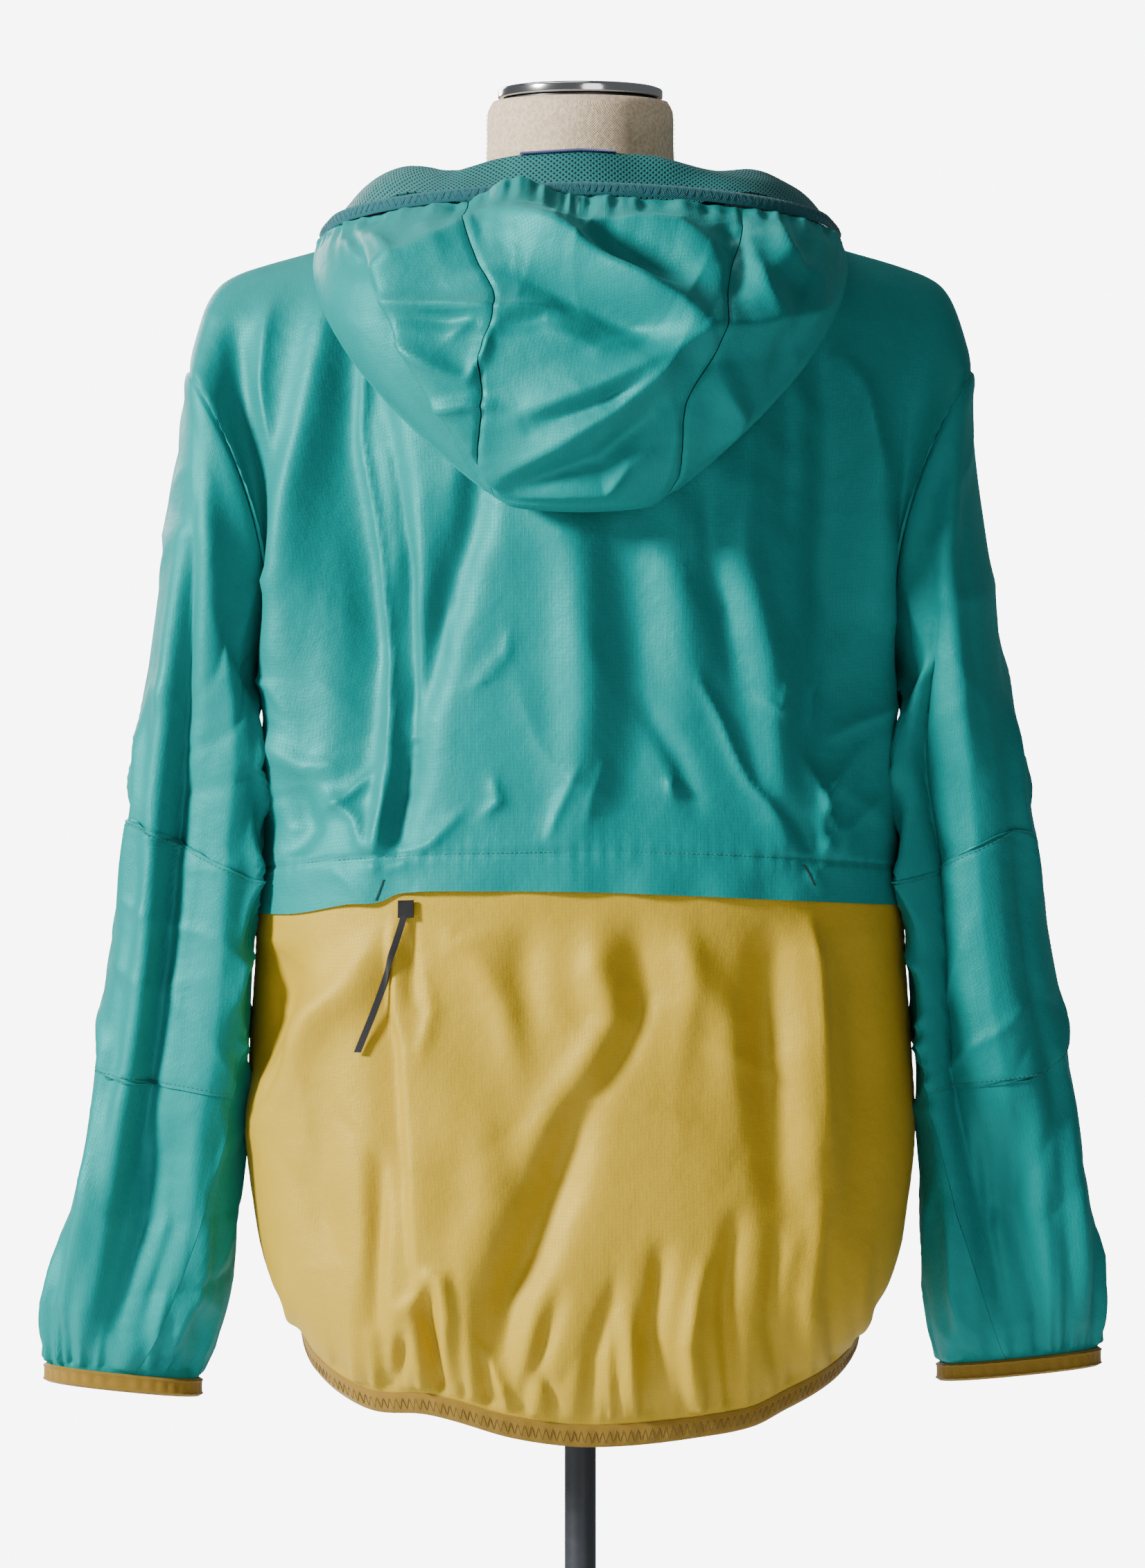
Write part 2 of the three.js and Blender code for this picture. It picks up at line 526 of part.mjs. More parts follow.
function backPanels() {
  const surface = (u, level) => body(u, level, -1);
  const lift = (u, level) => {
    const stand = mix(FLAP_LIFT, CLOTH + 0.5, clamp((Math.abs(u) - 0.7) / 0.3, 0, 1));
    const flap = stand * clamp((FLAP_SEAM_LEVEL + 26 - level) / 24, 0, 1);
    const [x, , z] = surface(u, level);
    const calm = clamp((0.98 - Math.abs(u)) / 0.14, 0, 1) * clamp((level - FLAP_SEAM_LEVEL) / 20, 0, 1);
    return flap + foldsAt(BACK_FOLDS, x, z) * calm * clamp((TOP_LEVEL - level) / 45, 0, 1);
  };
  const columns = [...ACROSS.slice(1).reverse().map((u) => -u), ...ACROSS];
  const levels = [FLAP_EDGE_LEVEL, FLAP_SEAM_LEVEL, ...UPPER_LEVELS, ...armholeLevels];
  levels[levels.length - 1] = TOP_LEVEL - SHOULDER_TRIM;
  const upper = levels.map((v) => ({ v, us: columns }));
  add(jacket, "back_upper", wall({ surface, rows: upper, facing: 1, thickness: CLOTH, lift, trim: behindSeam }), TEAL);

  const fine = steps(-1 + EDGE, 1 - EDGE, 2 * HEM_WAVES_BACK);
  const lowerLift = (u, level) => {
    const [x, , z] = surface(u, level);
    const calm = clamp((0.98 - Math.abs(u)) / 0.14, 0, 1) * clamp((level - 800) / 40, 0, 1);
    const tucked = clamp((FLAP_EDGE_LEVEL - 6 - level) / 30, 0, 1);
    return gathers(u, HEM_WAVES_BACK / 2, level - HEM_TOP, 40) + foldsAt(BACK_FOLDS, x, z) * calm * tucked;
  };
  const lower = [
    ...GATHERED_LEVELS.map((v) => ({ v, us: fine })),
    ...LOWER_LEVELS.map((v) => ({ v, us: columns })),
    ...[FLAP_EDGE_LEVEL, FLAP_SEAM_LEVEL - 2].map((v) => ({ v, us: columns })),
  ];
  add(jacket, "back_lower", wall({ surface, rows: lower, facing: 1, thickness: CLOTH, lift: lowerLift }), GOLD);
}

function frontPanels(side, name) {
  const surface = (a, level) => front(side, a, level);
  const facing = -side;
  const columns = ACROSS;
  const seam = FLAP_EDGE_LEVEL + 4;
  const levels = [seam + SEAM_GAP, FLAP_SEAM_LEVEL, ...UPPER_LEVELS, ...armholeLevels];
  levels[levels.length - 1] = TOP_LEVEL - SHOULDER_TRIM;
  const upper = levels.map((v) => ({ v, us: columns }));
  add(jacket, `front_upper_${name}`, wall({ surface, rows: upper, facing, thickness: CLOTH, trim: beforeSeam }), TEAL);

  const fine = steps(0, 1 - EDGE, 2 * HEM_WAVES_FRONT);
  const lift = (u, level) => gathers(u, HEM_WAVES_FRONT, level - HEM_TOP, 40) * clamp((u - 0.02) / 0.1, 0, 1);
  const lower = [
    ...GATHERED_LEVELS.map((v) => ({ v, us: fine })),
    ...[...LOWER_LEVELS, seam].map((v) => ({ v, us: columns })),
  ];
  add(jacket, `front_lower_${name}`, wall({ surface, rows: lower, facing, thickness: CLOTH, lift }), GOLD);
}

function hemBinding() {
  const surface = (a, level) => {
    if (Math.abs(a) <= 1) return body(a, level, -1);
    return front(Math.sign(a), 2 - Math.abs(a), level);
  };
  const us = steps(-2, 2, 60);
  const rows = [HEM_LEVEL, HEM_LEVEL + HEM_BINDING_HEIGHT / 2, HEM_LEVEL + HEM_BINDING_HEIGHT].map((v) => ({ v, us }));
  const lift = (a, level) => 0.9 - 0.5 * Math.abs(level - HEM_LEVEL - HEM_BINDING_HEIGHT / 2) / HEM_BINDING_HEIGHT;
  add(jacket, "hem_binding", wall({ surface, rows, facing: 1, thickness: BINDING, lift }), GOLD_ELASTIC);
}

// Rings of a sleeve panel, with more points near the cuff, where it is gathered.
function sleevePanels(side, name) {
  const surface = (angle, ring) => sleeve(side, angle, ring);
  const lift = (angle, ring) => {
    const height = (LAST_RING - ring) * 24;
    const gathered = waves(angle / 360, CUFF_WAVES) * 2.2 * Math.max(0, 1 - height / 40) ** 0.8;
    return sleeveFold(angle, ring) + gathered;
  };
  const facing = side;
  const seam = (ring, key) => read(UNDER_SEAM, "ring", ring, key);
  const nearSeam = 0.16; // half the gap, in degrees
  const rings = [0.045, 0.4, 0.8, 1.5, 2.2, 3, ...PATCH.map((row) => row.ring), 7, 8, 8.8, 9.4, 10];
  const isFine = (ring) => ring > 8.5;
  const [coarseUpper, fineUpper, coarseUnder, fineUnder] = [13, 22, 3, 9];
  const start = (v) => seam(v, "before") - 360 + nearSeam;
  const end = (v) => seam(v, "behind") - nearSeam;
  // The patch's inner edge is a column of its own, close to the seam.
  const upperColumns = (v, count) => [...steps(start(v), end(v), count).slice(0, -1), end(v) - 2.5, end(v)];
  const upper = rings.map((v) => ({ v, us: upperColumns(v, isFine(v) ? fineUpper : coarseUpper) }));
  const under = rings.map((v) => {
    const [from, to] = [seam(v, "behind") + nearSeam, seam(v, "before") - nearSeam];
    return { v, us: steps(from, to, isFine(v) ? fineUnder : coarseUnder) };
  });
  const thickness = (angle, ring) => (ring < 0.1 ? 1 : CLOTH); // thinner in the armhole seam
  const make = (rows) => wall({ surface, rows, facing, thickness, lift });
  add(jacket, `sleeve_upper_${name}`, make(upper), TEAL);
  add(jacket, `sleeve_under_${name}`, make(under), TEAL);

  // The elbow patch is made from the sleeve's own points, moved out.
  const patchRows = PATCH.map((row) => ({
    v: row.ring,
    us: upperColumns(row.ring, coarseUpper).slice(row[name], -1),
  }));
  const patchLift = (angle, ring) => lift(angle, ring) + PATCH_GAP + PATCH_THICKNESS;
  const reach = { u: [start(0), end(0)], v: [0, LAST_RING] };
  const patchShape = { surface, rows: patchRows, facing, thickness: PATCH_THICKNESS, lift: patchLift, reach };
  add(jacket, `elbow_patch_${name}`, wall(patchShape), TEAL);

  const cuffSurface = (angle, drop) => {
    const point = sleeve(side, angle, LAST_RING);
    point[2] -= CUFF_GAP + drop * CUFF_BINDING_HEIGHT;
    return point;
  };
  const cuffRows = [0, 0.5, 1].map((v) => ({ v, us: steps(0, 360, 28).slice(0, -1) }));
  const cuffLift = (angle, drop) => 0.9 - Math.abs(drop - 0.5);
  const cuffShape = { surface: cuffSurface, rows: cuffRows, facing: side, thickness: BINDING, lift: cuffLift };
  const cuff = wall({ ...cuffShape, closed: true });
  add(jacket, `cuff_binding_${name}`, cuff, GOLD_ELASTIC);
}

function hoodPanels() {
  const seamAt = (row, key) => read(HOOD, "row", row, key);
  const rowList = [0.04, 0.5, 1.1, 2, 3, 4, 5, 6.1, 7.1, 7.8];
  const seen = (q, row) => {
    const [x, , z] = hood(q, row);
    const fade = clamp((0.88 - Math.abs(q)) / 0.2, 0, 1);
    const creases = foldsAt(HOOD_FOLDS, x, z) * clamp((row - 0.4) / 1, 0, 1) * clamp((7.3 - row) / 1, 0, 1);
    return fade * (creases + waves(q, HOOD_WAVES / 2) * 2 * Math.max(0, 1 - row / 1));
  };
  const lift = (q, row) => (Math.abs(q) < 0.88 ? seen(q, row) : 0);
  const gap = (row) => (row > 6.5 ? 0.5 : 0.3) / seamAt(row, "half");
  const gathered = (row) => row < 0.6;
  const left = rowList.map((v) => ({
    v,
    us: steps(-2 + HOOD_FRONT_SEAM * (1 + v / 9) + gap(v), seamAt(v, "seamL") - gap(v), gathered(v) ? 18 : 11),
  }));
  const right = rowList.map((v) => ({
    v,
    us: steps(seamAt(v, "seamR") + gap(v), 2 - HOOD_FRONT_SEAM * (1 + v / 9) - gap(v), gathered(v) ? 18 : 11),
  }));
  const make = (rows) => wall({ surface: hood, rows, facing: -1, thickness: CLOTH, lift });
  add(jacket, "hood_left", make(left), TEAL);
  add(jacket, "hood_right", make(right), TEAL);

  // The middle panel runs from the opening down to the foot and up again along the back.
  const middle = (p, way) => {
    const row = way <= 8 ? way : 16 - way;
    const behind = clamp((way - 7.8) / 0.4, 0, 1);
    const [l, r] = [seamAt(row, "seamL") + gap(row), seamAt(row, "seamR") - gap(row)];
    const outside = hood(mix(l, r, p), row);
    const edge = HOOD_FRONT_SEAM * (1 + row / 9) - gap(row);
    const across = mix(-edge, edge, p);
    const hidden = hood(Math.sign(across) * (2 - Math.abs(across)) || 2, row);
    return outside.map((value, k) => mix(value, hidden[k], behind));
  };
  const ways = [...rowList, 8, ...rowList.map((row) => 16 - row).reverse()];
  const rows = ways.map((v) => ({ v, us: steps(0, 1, gathered(v) ? 16 : 8) }));
  const middleLift = (p, way) => {
    const row = Math.min(way, 7.3);
    return seen(mix(seamAt(row, "seamL"), seamAt(row, "seamR"), p), row);
  };
  add(jacket, "hood_middle", wall({ surface: middle, rows, facing: -1, thickness: CLOTH, lift: middleLift }), TEAL);
}

// The mesh lining from the neck seam over the roll, and a plain label folded over its crest.
function hoodLining() {
  const us = steps(-COLLAR_END, COLLAR_END, 32);
  const rows = [0, 0.5, 1, 1.5, 2.2, 3].map((v) => ({ v, us }));
  const shape = { surface: collar, rows, facing: -1, thickness: LINING_THICKNESS };
  add(jacket, "hood_lining", wall(shape), LINING);
  const label = { from: -24, to: 14, low: 0.35, high: 1.25 };
  const labelRows = steps(label.low, label.high, 5).map((v) => ({ v, us: steps(label.from, label.to, 4) }));
  const labelShape = { surface: collar, rows: labelRows, facing: -1, thickness: 1, lift: () => 1.8 };
  add(jacket, "neck_label", wall(labelShape), NAVY);
}

// The elastic binding round the face opening: it stands on the hood's edge behind and takes the
// lining's edge in front.
function hoodBinding() {
  const surface = (s, h) => {
    const here = opening(s);
    const outwards = unit([here[0], here[1], 0]);
    const turned = clamp((Math.abs(s) - 1) / 0.3, 0, 1);
    const clear = BINDING_GAP + clamp((Math.abs(s) - 0.7) / 0.2, 0, 1) * 1.7 + 2 * Math.sin(Math.PI * turned);
    const behind = [0, 0.3, 1];
    const before = [outwards[0], outwards[1], -0.55];
    const way = unit(behind.map((value, k) => mix(value, before[k], turned)));
    return plus(here, scaled(way, HOOD_BINDING_HEIGHT * h + clear));
  };
  const us = [...steps(-2, -1.06, 12), ...steps(-1, 1, 22), ...steps(1.06, 2, 12)];
  const rows = [0, 0.5, 1].map((v) => ({ v, us }));
  const lift = (s, h) => 0.8 - Math.abs(h - 0.5) * 1.2;
  add(jacket, "hood_binding", wall({ surface, rows, facing: 1, thickness: 2.6, lift }), TEAL_ELASTIC);
}

// The front zip: two tapes, and a slider with a hard pull that swings on it.
function frontZip() {
  const levels = [HEM_LEVEL, 770, 800, 850, 920, 1000, 1080, 1165, 1200, 1225, 1245, TOP_LEVEL - 0.4];
  for (const [side, name] of [[-1, "left"], [1, "right"]]) {
    const surface = (p, level) => {
      const [, y, z] = body(0, level, 1);
      return [side * mix(SEAM_GAP, ZIP_HALF_WIDTH, p), y, z];
    };
    const rows = levels.map((v) => ({ v, us: [0, 0.5, 1] }));
    add(jacket, `front_zip_${name}`, wall({ surface, rows, facing: -side, thickness: ZIP_THICKNESS }), BLACK);
  }
  const [, y, z] = body(0, SLIDER_LEVEL, 1);
  const below = body(0, SLIDER_LEVEL - 4, 1);
  const tilt = Math.atan2(below[1] - y, z - below[2]);
  const pose = (geometry) => geometry.rotateX(tilt).translate(0, y, z);
  const block = (w, d, h, x, cy, cz) => toSolid(new THREE.BoxGeometry(w, d, h).translate(x, cy, cz));
  const pin = (radius, length) => new THREE.CylinderGeometry(radius, radius, length, 16).rotateZ(Math.PI / 2);
  const face = SEAM_GAP + 0.15; // the slider's back, clear of the tapes
  const plate = block(10, 3, 13, 0, face + 1.5, 0);
  const nose = block(6, 3, 3, 0, face + 1.5, 7.6);
  const hinge = { y: face + 5.6, z: 2.5 };
  const cheek = (x) => block(1.3, 5.2, 5, x, face + 5, hinge.z);
  const slider = plate.add(nose).add(cheek(-3.2)).add(cheek(3.2));
  add(jacket, "front_slider", pose(fromSolid(slider)), BLACK);
  const barrel = toSolid(pin(1.5, 4.4).translate(0, hinge.y, hinge.z));
  const tab = block(4.2, 1.4, PULL_LENGTH, 0, hinge.y, hinge.z - PULL_LENGTH / 2);
  const grip = block(7, 1.8, PULL_LENGTH * 0.5, 0, hinge.y, hinge.z - PULL_LENGTH * 0.78);
  add(jacket, "front_pull", pose(fromSolid(barrel.add(tab).add(grip))), BLACK);
}

// The zipped pocket under the flap: a strip of zip, its slider and a flat tape for pulling it.
function backPocket() {
  const across = (x) => Math.sign(x) * Math.abs((Math.asin((Math.abs(x) / 207) ** (1 / SECTION)) * 2) / Math.PI) ** (1 / 1.45);
  const surface = (x, level) => body(across(x), level, -1);
  const strip = steps(-118, 122, 12);
  const rows = [FLAP_EDGE_LEVEL + 4, FLAP_SEAM_LEVEL - 8].map((v) => ({ v, us: strip }));
  const shape = { surface, rows, facing: 1, thickness: 0.9, lift: () => 1.35 };
  add(jacket, "pocket_zip", wall(shape), BLACK);
  const sliderRows = [FLAP_EDGE_LEVEL - 10, FLAP_EDGE_LEVEL - 1].map((v) => ({ v, us: steps(-112, -102.5, 2) }));
  const sliderShape = { surface, rows: sliderRows, facing: 1, thickness: 2, lift: () => 2.6 };
  add(jacket, "pocket_slider", wall(sliderShape), BLACK);
  const drop = (level) => (FLAP_EDGE_LEVEL - 11 - level) / (FLAP_EDGE_LEVEL - 11 - TAPE_END);
  const tape = (x, level) => surface(x - 107 - 27 * (1 - (1 - drop(level)) ** 1.8), level);
  const tapeRows = steps(TAPE_END, FLAP_EDGE_LEVEL - 11, 6).map((v) => ({ v, us: [-2, 2] }));
  const tapeShape = { surface: tape, rows: tapeRows, facing: 1, thickness: 0.9, lift: () => 2 };
  add(jacket, "pocket_pull", wall(tapeShape), BLACK);
}

// A solid through rings of points, closed by a flat fan at each end.
function loft(rings) {
  const count = rings[0].length;
  const positions = rings.flat(2);
  const triangles = [];
  for (let j = 0; j < rings.length - 1; j += 1) {
    for (let i = 0; i < count; i += 1) {
      const [a, b] = [j * count + i, j * count + ((i + 1) % count)];
      triangles.push(a, b, b + count, a, b + count, a + count);
    }
  }
  const middle = (ring) => [0, 1, 2].map((k) => ring.reduce((sum, p) => sum + p[k], 0) / count);
  const [foot, head] = [rings.length * count, rings.length * count + 1];
  positions.push(...middle(rings[0]), ...middle(rings.at(-1)));
  const last = (rings.length - 1) * count;
  for (let i = 0; i < count; i += 1) {
    const next = (i + 1) % count;
    triangles.push(foot, next, i, head, last + i, last + next);
  }
  return geometryOf(positions, triangles);
}
const turned = (profile, count) =>
  loft(profile.map(([r, z]) => steps(0, 360, count).slice(0, -1).map((a) => [r * Math.cos(radians(a)), r * Math.sin(radians(a)), z])));

// A ring turned from a closed profile that stays clear of the axis.
function sleeveOf(profile, count) {
  const outline = [...profile, profile[0]].map(([r, z]) => new THREE.Vector2(r, z));
  const ring = new THREE.LatheGeometry(outline, count).rotateX(Math.PI / 2);
  return fromSolid(toSolid(ring));
}

function dressForm() {
  const rings = FORM.map((row) =>
    steps(0, 360, 28).slice(0, -1).map((a) => {
      const [c, s] = [power(Math.cos(radians(a)), row.power), power(Math.sin(radians(a)), row.power)];
      return [row.half * c, s * (s > 0 ? row.front : row.back), row.z];
    }),
  );
  add(stand, "form_body", loft(rings), LINEN);
  const capFoot = NECK_TOP + SEAM_GAP;
  const spacer = turned([[49, capFoot], [49, capFoot + 2]], 32);
  add(stand, "cap_spacer", spacer, BLACK);
  const capLow = capFoot + 2 + SEAM_GAP;
  const cap = [[CAP_RADIUS - 1.5, 0], [CAP_RADIUS, 1.2], [CAP_RADIUS, 5], [CAP_RADIUS - 2.5, 6.8], [20, 7.6]];
  add(stand, "neck_cap", turned(cap.map(([r, z]) => [r, capLow + z]), 32), CHROME);
  const top = FORM[0].z - SEAM_GAP;
  const floor = BASE_THICKNESS + SEAM_GAP;
  const headFoot = top - POLE_HEAD_HEIGHT;
  const rod = [[POLE_RADIUS, floor], [POLE_RADIUS, headFoot - SEAM_GAP]];
  add(stand, "pole", turned(rod, 24), POLE_BLACK);
  add(stand, "pole_head", turned([[24, headFoot], [24, top - 5], [34, top - 3], [34, top]], 24), POLE_BLACK);
  const collarFoot = [BASE_COLLAR_RADIUS + 3, floor];
  const bore = POLE_RADIUS + SEAM_GAP;
  const base = [
    [BASE_RADIUS - 3, 0],
    [BASE_RADIUS, 2.5],
    [BASE_RADIUS, BASE_THICKNESS - 2.5],
    [BASE_RADIUS - 3, BASE_THICKNESS],
  ];
  add(stand, "base", turned(base, 36), POLE_BLACK);
  const ring = [
    [bore, floor],
    collarFoot,
    [BASE_COLLAR_RADIUS, floor + 4],
    [BASE_COLLAR_RADIUS, floor + 28],
    [BASE_COLLAR_RADIUS - 2, floor + 30],
    [bore, floor + 30],
  ];
  add(stand, "base_collar", sleeveOf(ring, 24), POLE_BLACK);
}

backPanels();
frontPanels(-1, "left");
frontPanels(1, "right");
hemBinding();
sleevePanels(-1, "left");
sleevePanels(1, "right");
hoodPanels();
hoodLining();
hoodBinding();
frontZip();
backPocket();
dressForm();

export default windbreaker;
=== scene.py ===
"""The looks of a hooded two-colour windbreaker on a linen dress form with a pole and a round base.

The cloth is built from the same surfaces as the solids, in millimetres, at a finer spacing, with
creases placed one by one. The jacket's back faces -Y and its front faces +Y.
"""

import json
import math

import bpy
import numpy as np
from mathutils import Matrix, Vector

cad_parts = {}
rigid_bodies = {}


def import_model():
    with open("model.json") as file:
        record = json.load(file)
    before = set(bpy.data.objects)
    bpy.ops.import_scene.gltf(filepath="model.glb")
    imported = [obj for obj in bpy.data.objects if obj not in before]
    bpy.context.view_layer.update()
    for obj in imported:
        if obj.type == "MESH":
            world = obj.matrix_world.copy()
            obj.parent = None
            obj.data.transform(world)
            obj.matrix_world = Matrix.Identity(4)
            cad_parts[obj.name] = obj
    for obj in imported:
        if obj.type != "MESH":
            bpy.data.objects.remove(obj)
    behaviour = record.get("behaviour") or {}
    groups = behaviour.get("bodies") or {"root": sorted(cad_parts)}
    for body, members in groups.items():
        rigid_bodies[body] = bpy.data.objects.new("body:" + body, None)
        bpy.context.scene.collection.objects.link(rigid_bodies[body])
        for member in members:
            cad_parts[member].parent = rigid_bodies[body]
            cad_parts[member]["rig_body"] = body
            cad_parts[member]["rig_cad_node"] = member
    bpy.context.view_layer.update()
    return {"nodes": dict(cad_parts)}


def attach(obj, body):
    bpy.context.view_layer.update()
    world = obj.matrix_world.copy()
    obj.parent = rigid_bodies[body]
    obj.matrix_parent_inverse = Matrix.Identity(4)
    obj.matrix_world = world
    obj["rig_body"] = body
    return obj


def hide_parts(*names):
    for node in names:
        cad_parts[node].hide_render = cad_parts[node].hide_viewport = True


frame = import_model()

MM = 0.001
ROOT = "jacket_on_form"
PI = math.pi
FAR = 1e9

# Driving dimensions of the solids, in millimetres
SEAM_GAP = 0.3
HEM_LEVEL = 748
HEM_BINDING_HEIGHT = 12
FLAP_EDGE_LEVEL = 1016
FLAP_SEAM_LEVEL = 1043
ARMPIT_LEVEL = 1165
SHOULDER_SPAN = 100
TOP_LEVEL = ARMPIT_LEVEL + SHOULDER_SPAN
SHOULDER_EDGE = TOP_LEVEL - 0.05
FRONT_SEAM_LEVEL = FLAP_EDGE_LEVEL + 4
ZIP_HALF_WIDTH = 9.4
ARMHOLE_DEPTH = 75
CUFF_BINDING_HEIGHT = 11.5
HOOD_BINDING_HEIGHT = 8.5
ROUND = 0.84
SECTION = 0.78
TURN_POWER = 1.45
POCKET_HALF_WIDTH = 207  # of the body, at the pocket
NECK_POINT = 0.37
LAST_RING = 10
RING_STEP = 24  # about how far apart a sleeve's last two rings are
LAST_HOOD_ROW = 8
HOOD_ROW_STEP = 21  # about how far apart in height the hood's first rows are
HOOD_FRONT_SEAM = 0.42
FOLD_ANGLES = {-1: 76, 1: 112}
COLLAR_END = 178.8
FLAP_RISE = 9.3  # about how much the back's middle is raised over its sides near the flap
SIDE_WIDTH = 260  # about the girth from the middle of the back or front to a side seam
FORM_NECK_SEAM = 1478
HEM_TOP = HEM_LEVEL + HEM_BINDING_HEIGHT + SEAM_GAP
DEGREE = 1.15  # millimetres of a sleeve's girth in one degree

SIDES = ((-1, "left"), (1, "right"))

# Finer sizes that only show here
CLOTH = 0.9
EDGE = 0.0002
GRID_PITCH = 0.0024  # side of a square of the cloth's grid, in metres
GRID_LINE = 0.00028  # half width of its lines, in metres
STITCH_LENGTH = 3.0
ZIGZAG_PITCH = 4.4
THREAD_SIDES = 4
METAL_EDGE = 0.0003  # width of the softened edges of sliders and pull, in metres
POCKET_SLIDER_SHIFT = (-0.001, -0.001, 0.0045)  # from its solid's place, in metres
CRISP_EDGE = math.radians(35)  # sharper bends than this aren't shaded round


def table(names, rows):
    """A table with named columns."""
    return dict(zip(names.split(), np.array(rows, float).T))


BODY = table(
    "level half back front rise",
    [
        (748, 175, 109, 105, -55),
        (760, 178, 113, 108, -53),
        (776, 190, 125, 117, -49),
        (800, 201, 133, 123, -43),
        (835, 208, 136, 127, -34),
        (880, 213, 134, 128, -22),
        (930, 211, 131, 127, -10),
        (990, 207, 128, 126, 4),
        (1045, 205, 127, 126, 15),
        (1105, 202, 127, 127, 6),
        (1165, 199, 128, 128, 0),
    ],
)
NECK_TO_ARMHOLE = [
    (NECK_POINT, 83, 0, 1457),
    (0.56, 140, 0, 1447),
    (0.68, 174, 0, 1438),
    (0.77, 205, 0, 1429),
    (0.84, 226, 0, 1420),
    (0.89, 236, 0, 1408),
    (0.94, 243, 0, 1388),
    (1, 249, 0, 1362),
]
BACK_TOP = table(
    "u x y z",
    [(0, 0, -78, 1452), (0.12, 34, -71, 1454), (0.24, 61, -49, 1458), (0.32, 77, -20, 1459)]
    + NECK_TO_ARMHOLE,
)
FRONT_TOP = table(
    "u x y z",
    [(0, 0, 88, 1405), (0.12, 34, 81, 1412), (0.24, 60, 56, 1431), (0.32, 76, 25, 1448)]
    + NECK_TO_ARMHOLE,
)
SLEEVE = table(
    "ring outX outZ inX inZ back front rightOut rightIn",
    [
        (1, 257, 1312, 204, 1149, 80, 77, -7, 0),
        (2, 266, 1250, 206.5, 1129, 81, 77, -8, 0),
        (3, 275, 1180, 209, 1092, 79, 76, -6, 0),
        (4, 286, 1095, 212.5, 1038, 76, 73, -2, 0),
        (5, 298, 1005, 217, 975, 73, 70, 0, 0),
        (6, 308, 925, 220, 906, 69, 67, 3, 0),
        (7, 321, 850, 218, 840, 64, 63, 1, 0),
        (8, 333, 793, 221, 785, 56, 56, -4, -3),
        (9, 340, 754, 231, 746, 44, 44, -9, -9),
        (10, 340, 731, 243, 721, 28, 29, -10, -14),
    ],
)
LEAN = table("ring by", [(0, 0), (1, 0), (2, 10), (3, 20), (4, 17), (6, 18), (7, 6), (8, 0), (10, 0)])
CUFF_RAISE = {-1: 0, 1: 10}
RAISE_FROM_RING = 5
UNDER_SEAM = table("ring behind before", [(0, 150, 225), (4, 142, 228), (7, 122, 236), (10, 98, 244)])
HOOD = table(
    "row midZ edgeZ half backY edgeY frontY seamL seamR",
    [
        (0, 1465, 1442, 163, -119, -38, -98, -0.35, 0.49),
        (1, 1446, 1429, 167, -152, -54, -104, -0.35, 0.48),
        (2, 1423, 1411, 165, -176, -74, -113, -0.32, 0.46),
        (3, 1395, 1389, 157, -190, -93, -121, -0.28, 0.46),
        (4, 1361, 1360, 139, -196, -110, -128, -0.36, 0.46),
        (5, 1329, 1331, 114, -193, -124, -133, -0.42, 0.45),
        (6, 1301, 1304, 86, -183, -133, -137, -0.57, 0.58),
        (7, 1280, 1285, 63, -169, -139, -141, -0.79, 0.79),
        (8, 1267, 1273, 47, -155, -145, -147, -0.98, 0.98),
    ],
)
COLLAR = table(
    "turn seamR seamZ crestR crestZ pastR pastZ edgeR edgeZ",
    [
        (0, 80, 1452.8, 88, 1495, 103, 1474, 115, 1444),
        (30, 80, 1455.8, 90, 1492, 106, 1476, 119, 1457),
        (52, 80, 1459.4, 98, 1484, 119, 1480, 136, 1470),
        (72, 81, 1460.4, 106, 1489, 134, 1480, 158, 1454),
        (90, 83, 1458.4, 108, 1487, 138, 1477, 162, 1450),
        (108, 81, 1452.2, 105, 1478, 128, 1470, 147, 1446),
        (133, 84, 1434, 100, 1464, 115, 1455, 126, 1436),
        (157, 89.8, 1411.2, 100, 1450, 110, 1441, 116, 1424),
        (180, 88.5, 1406, 101, 1444, 109, 1435, 114, 1419),
    ],
)
FORM = table(
    "z half back front power",
    [
        (790, 138, 84, 84, 1),
        (803, 147, 91, 90, 0.95),
        (850, 158, 99, 97, 0.92),
        (930, 156, 94, 97, 0.92),
        (1010, 149, 86, 96, 0.92),
        (1110, 161, 94, 107, 0.92),
        (1215, 178, 105, 114, 0.92),
        (1300, 192, 102, 109, 0.96),
        (1355, 204, 92, 94, 1.02),
        (1390, 212, 78, 78, 1.15),
        (1413, 213, 71, 70, 1.35),
        (1426.6, 203, 68, 67, 1.6),
        (1436.6, 171, 66, 65, 2),
        (1442.5, 129, 65, 64, 2),
        (1449, 86, 64, 63, 1.6),
        (1459, 68, 63, 62, 1.15),
        (1475, 62, 61, 61, 1),
        (1505, 60, 60, 60, 1),
        (1528, 59.5, 59.5, 59.5, 1),
        (1534, 56.5, 56.5, 56.5, 1),
    ],
)

# Where the free edge of the upper back hangs, and how the hem wanders from its even curve.
FLAP_EDGE = table(
    "x z",
    [(-207, 1018), (-178, 1018.5), (-144, 1024), (-125, 1025)]
    + [(-111, 1030), (-60, 1031), (27, 1030), (206, 1023)],
)
HEM_WANDER = table(
    "x by",
    [(-178, 0), (-148, -4), (-128, -4), (-100, 3), (-78, 3), (-43, -2)]
    + [(0, -5), (71, -6), (108, -7), (130, -3), (178, 0)],
)

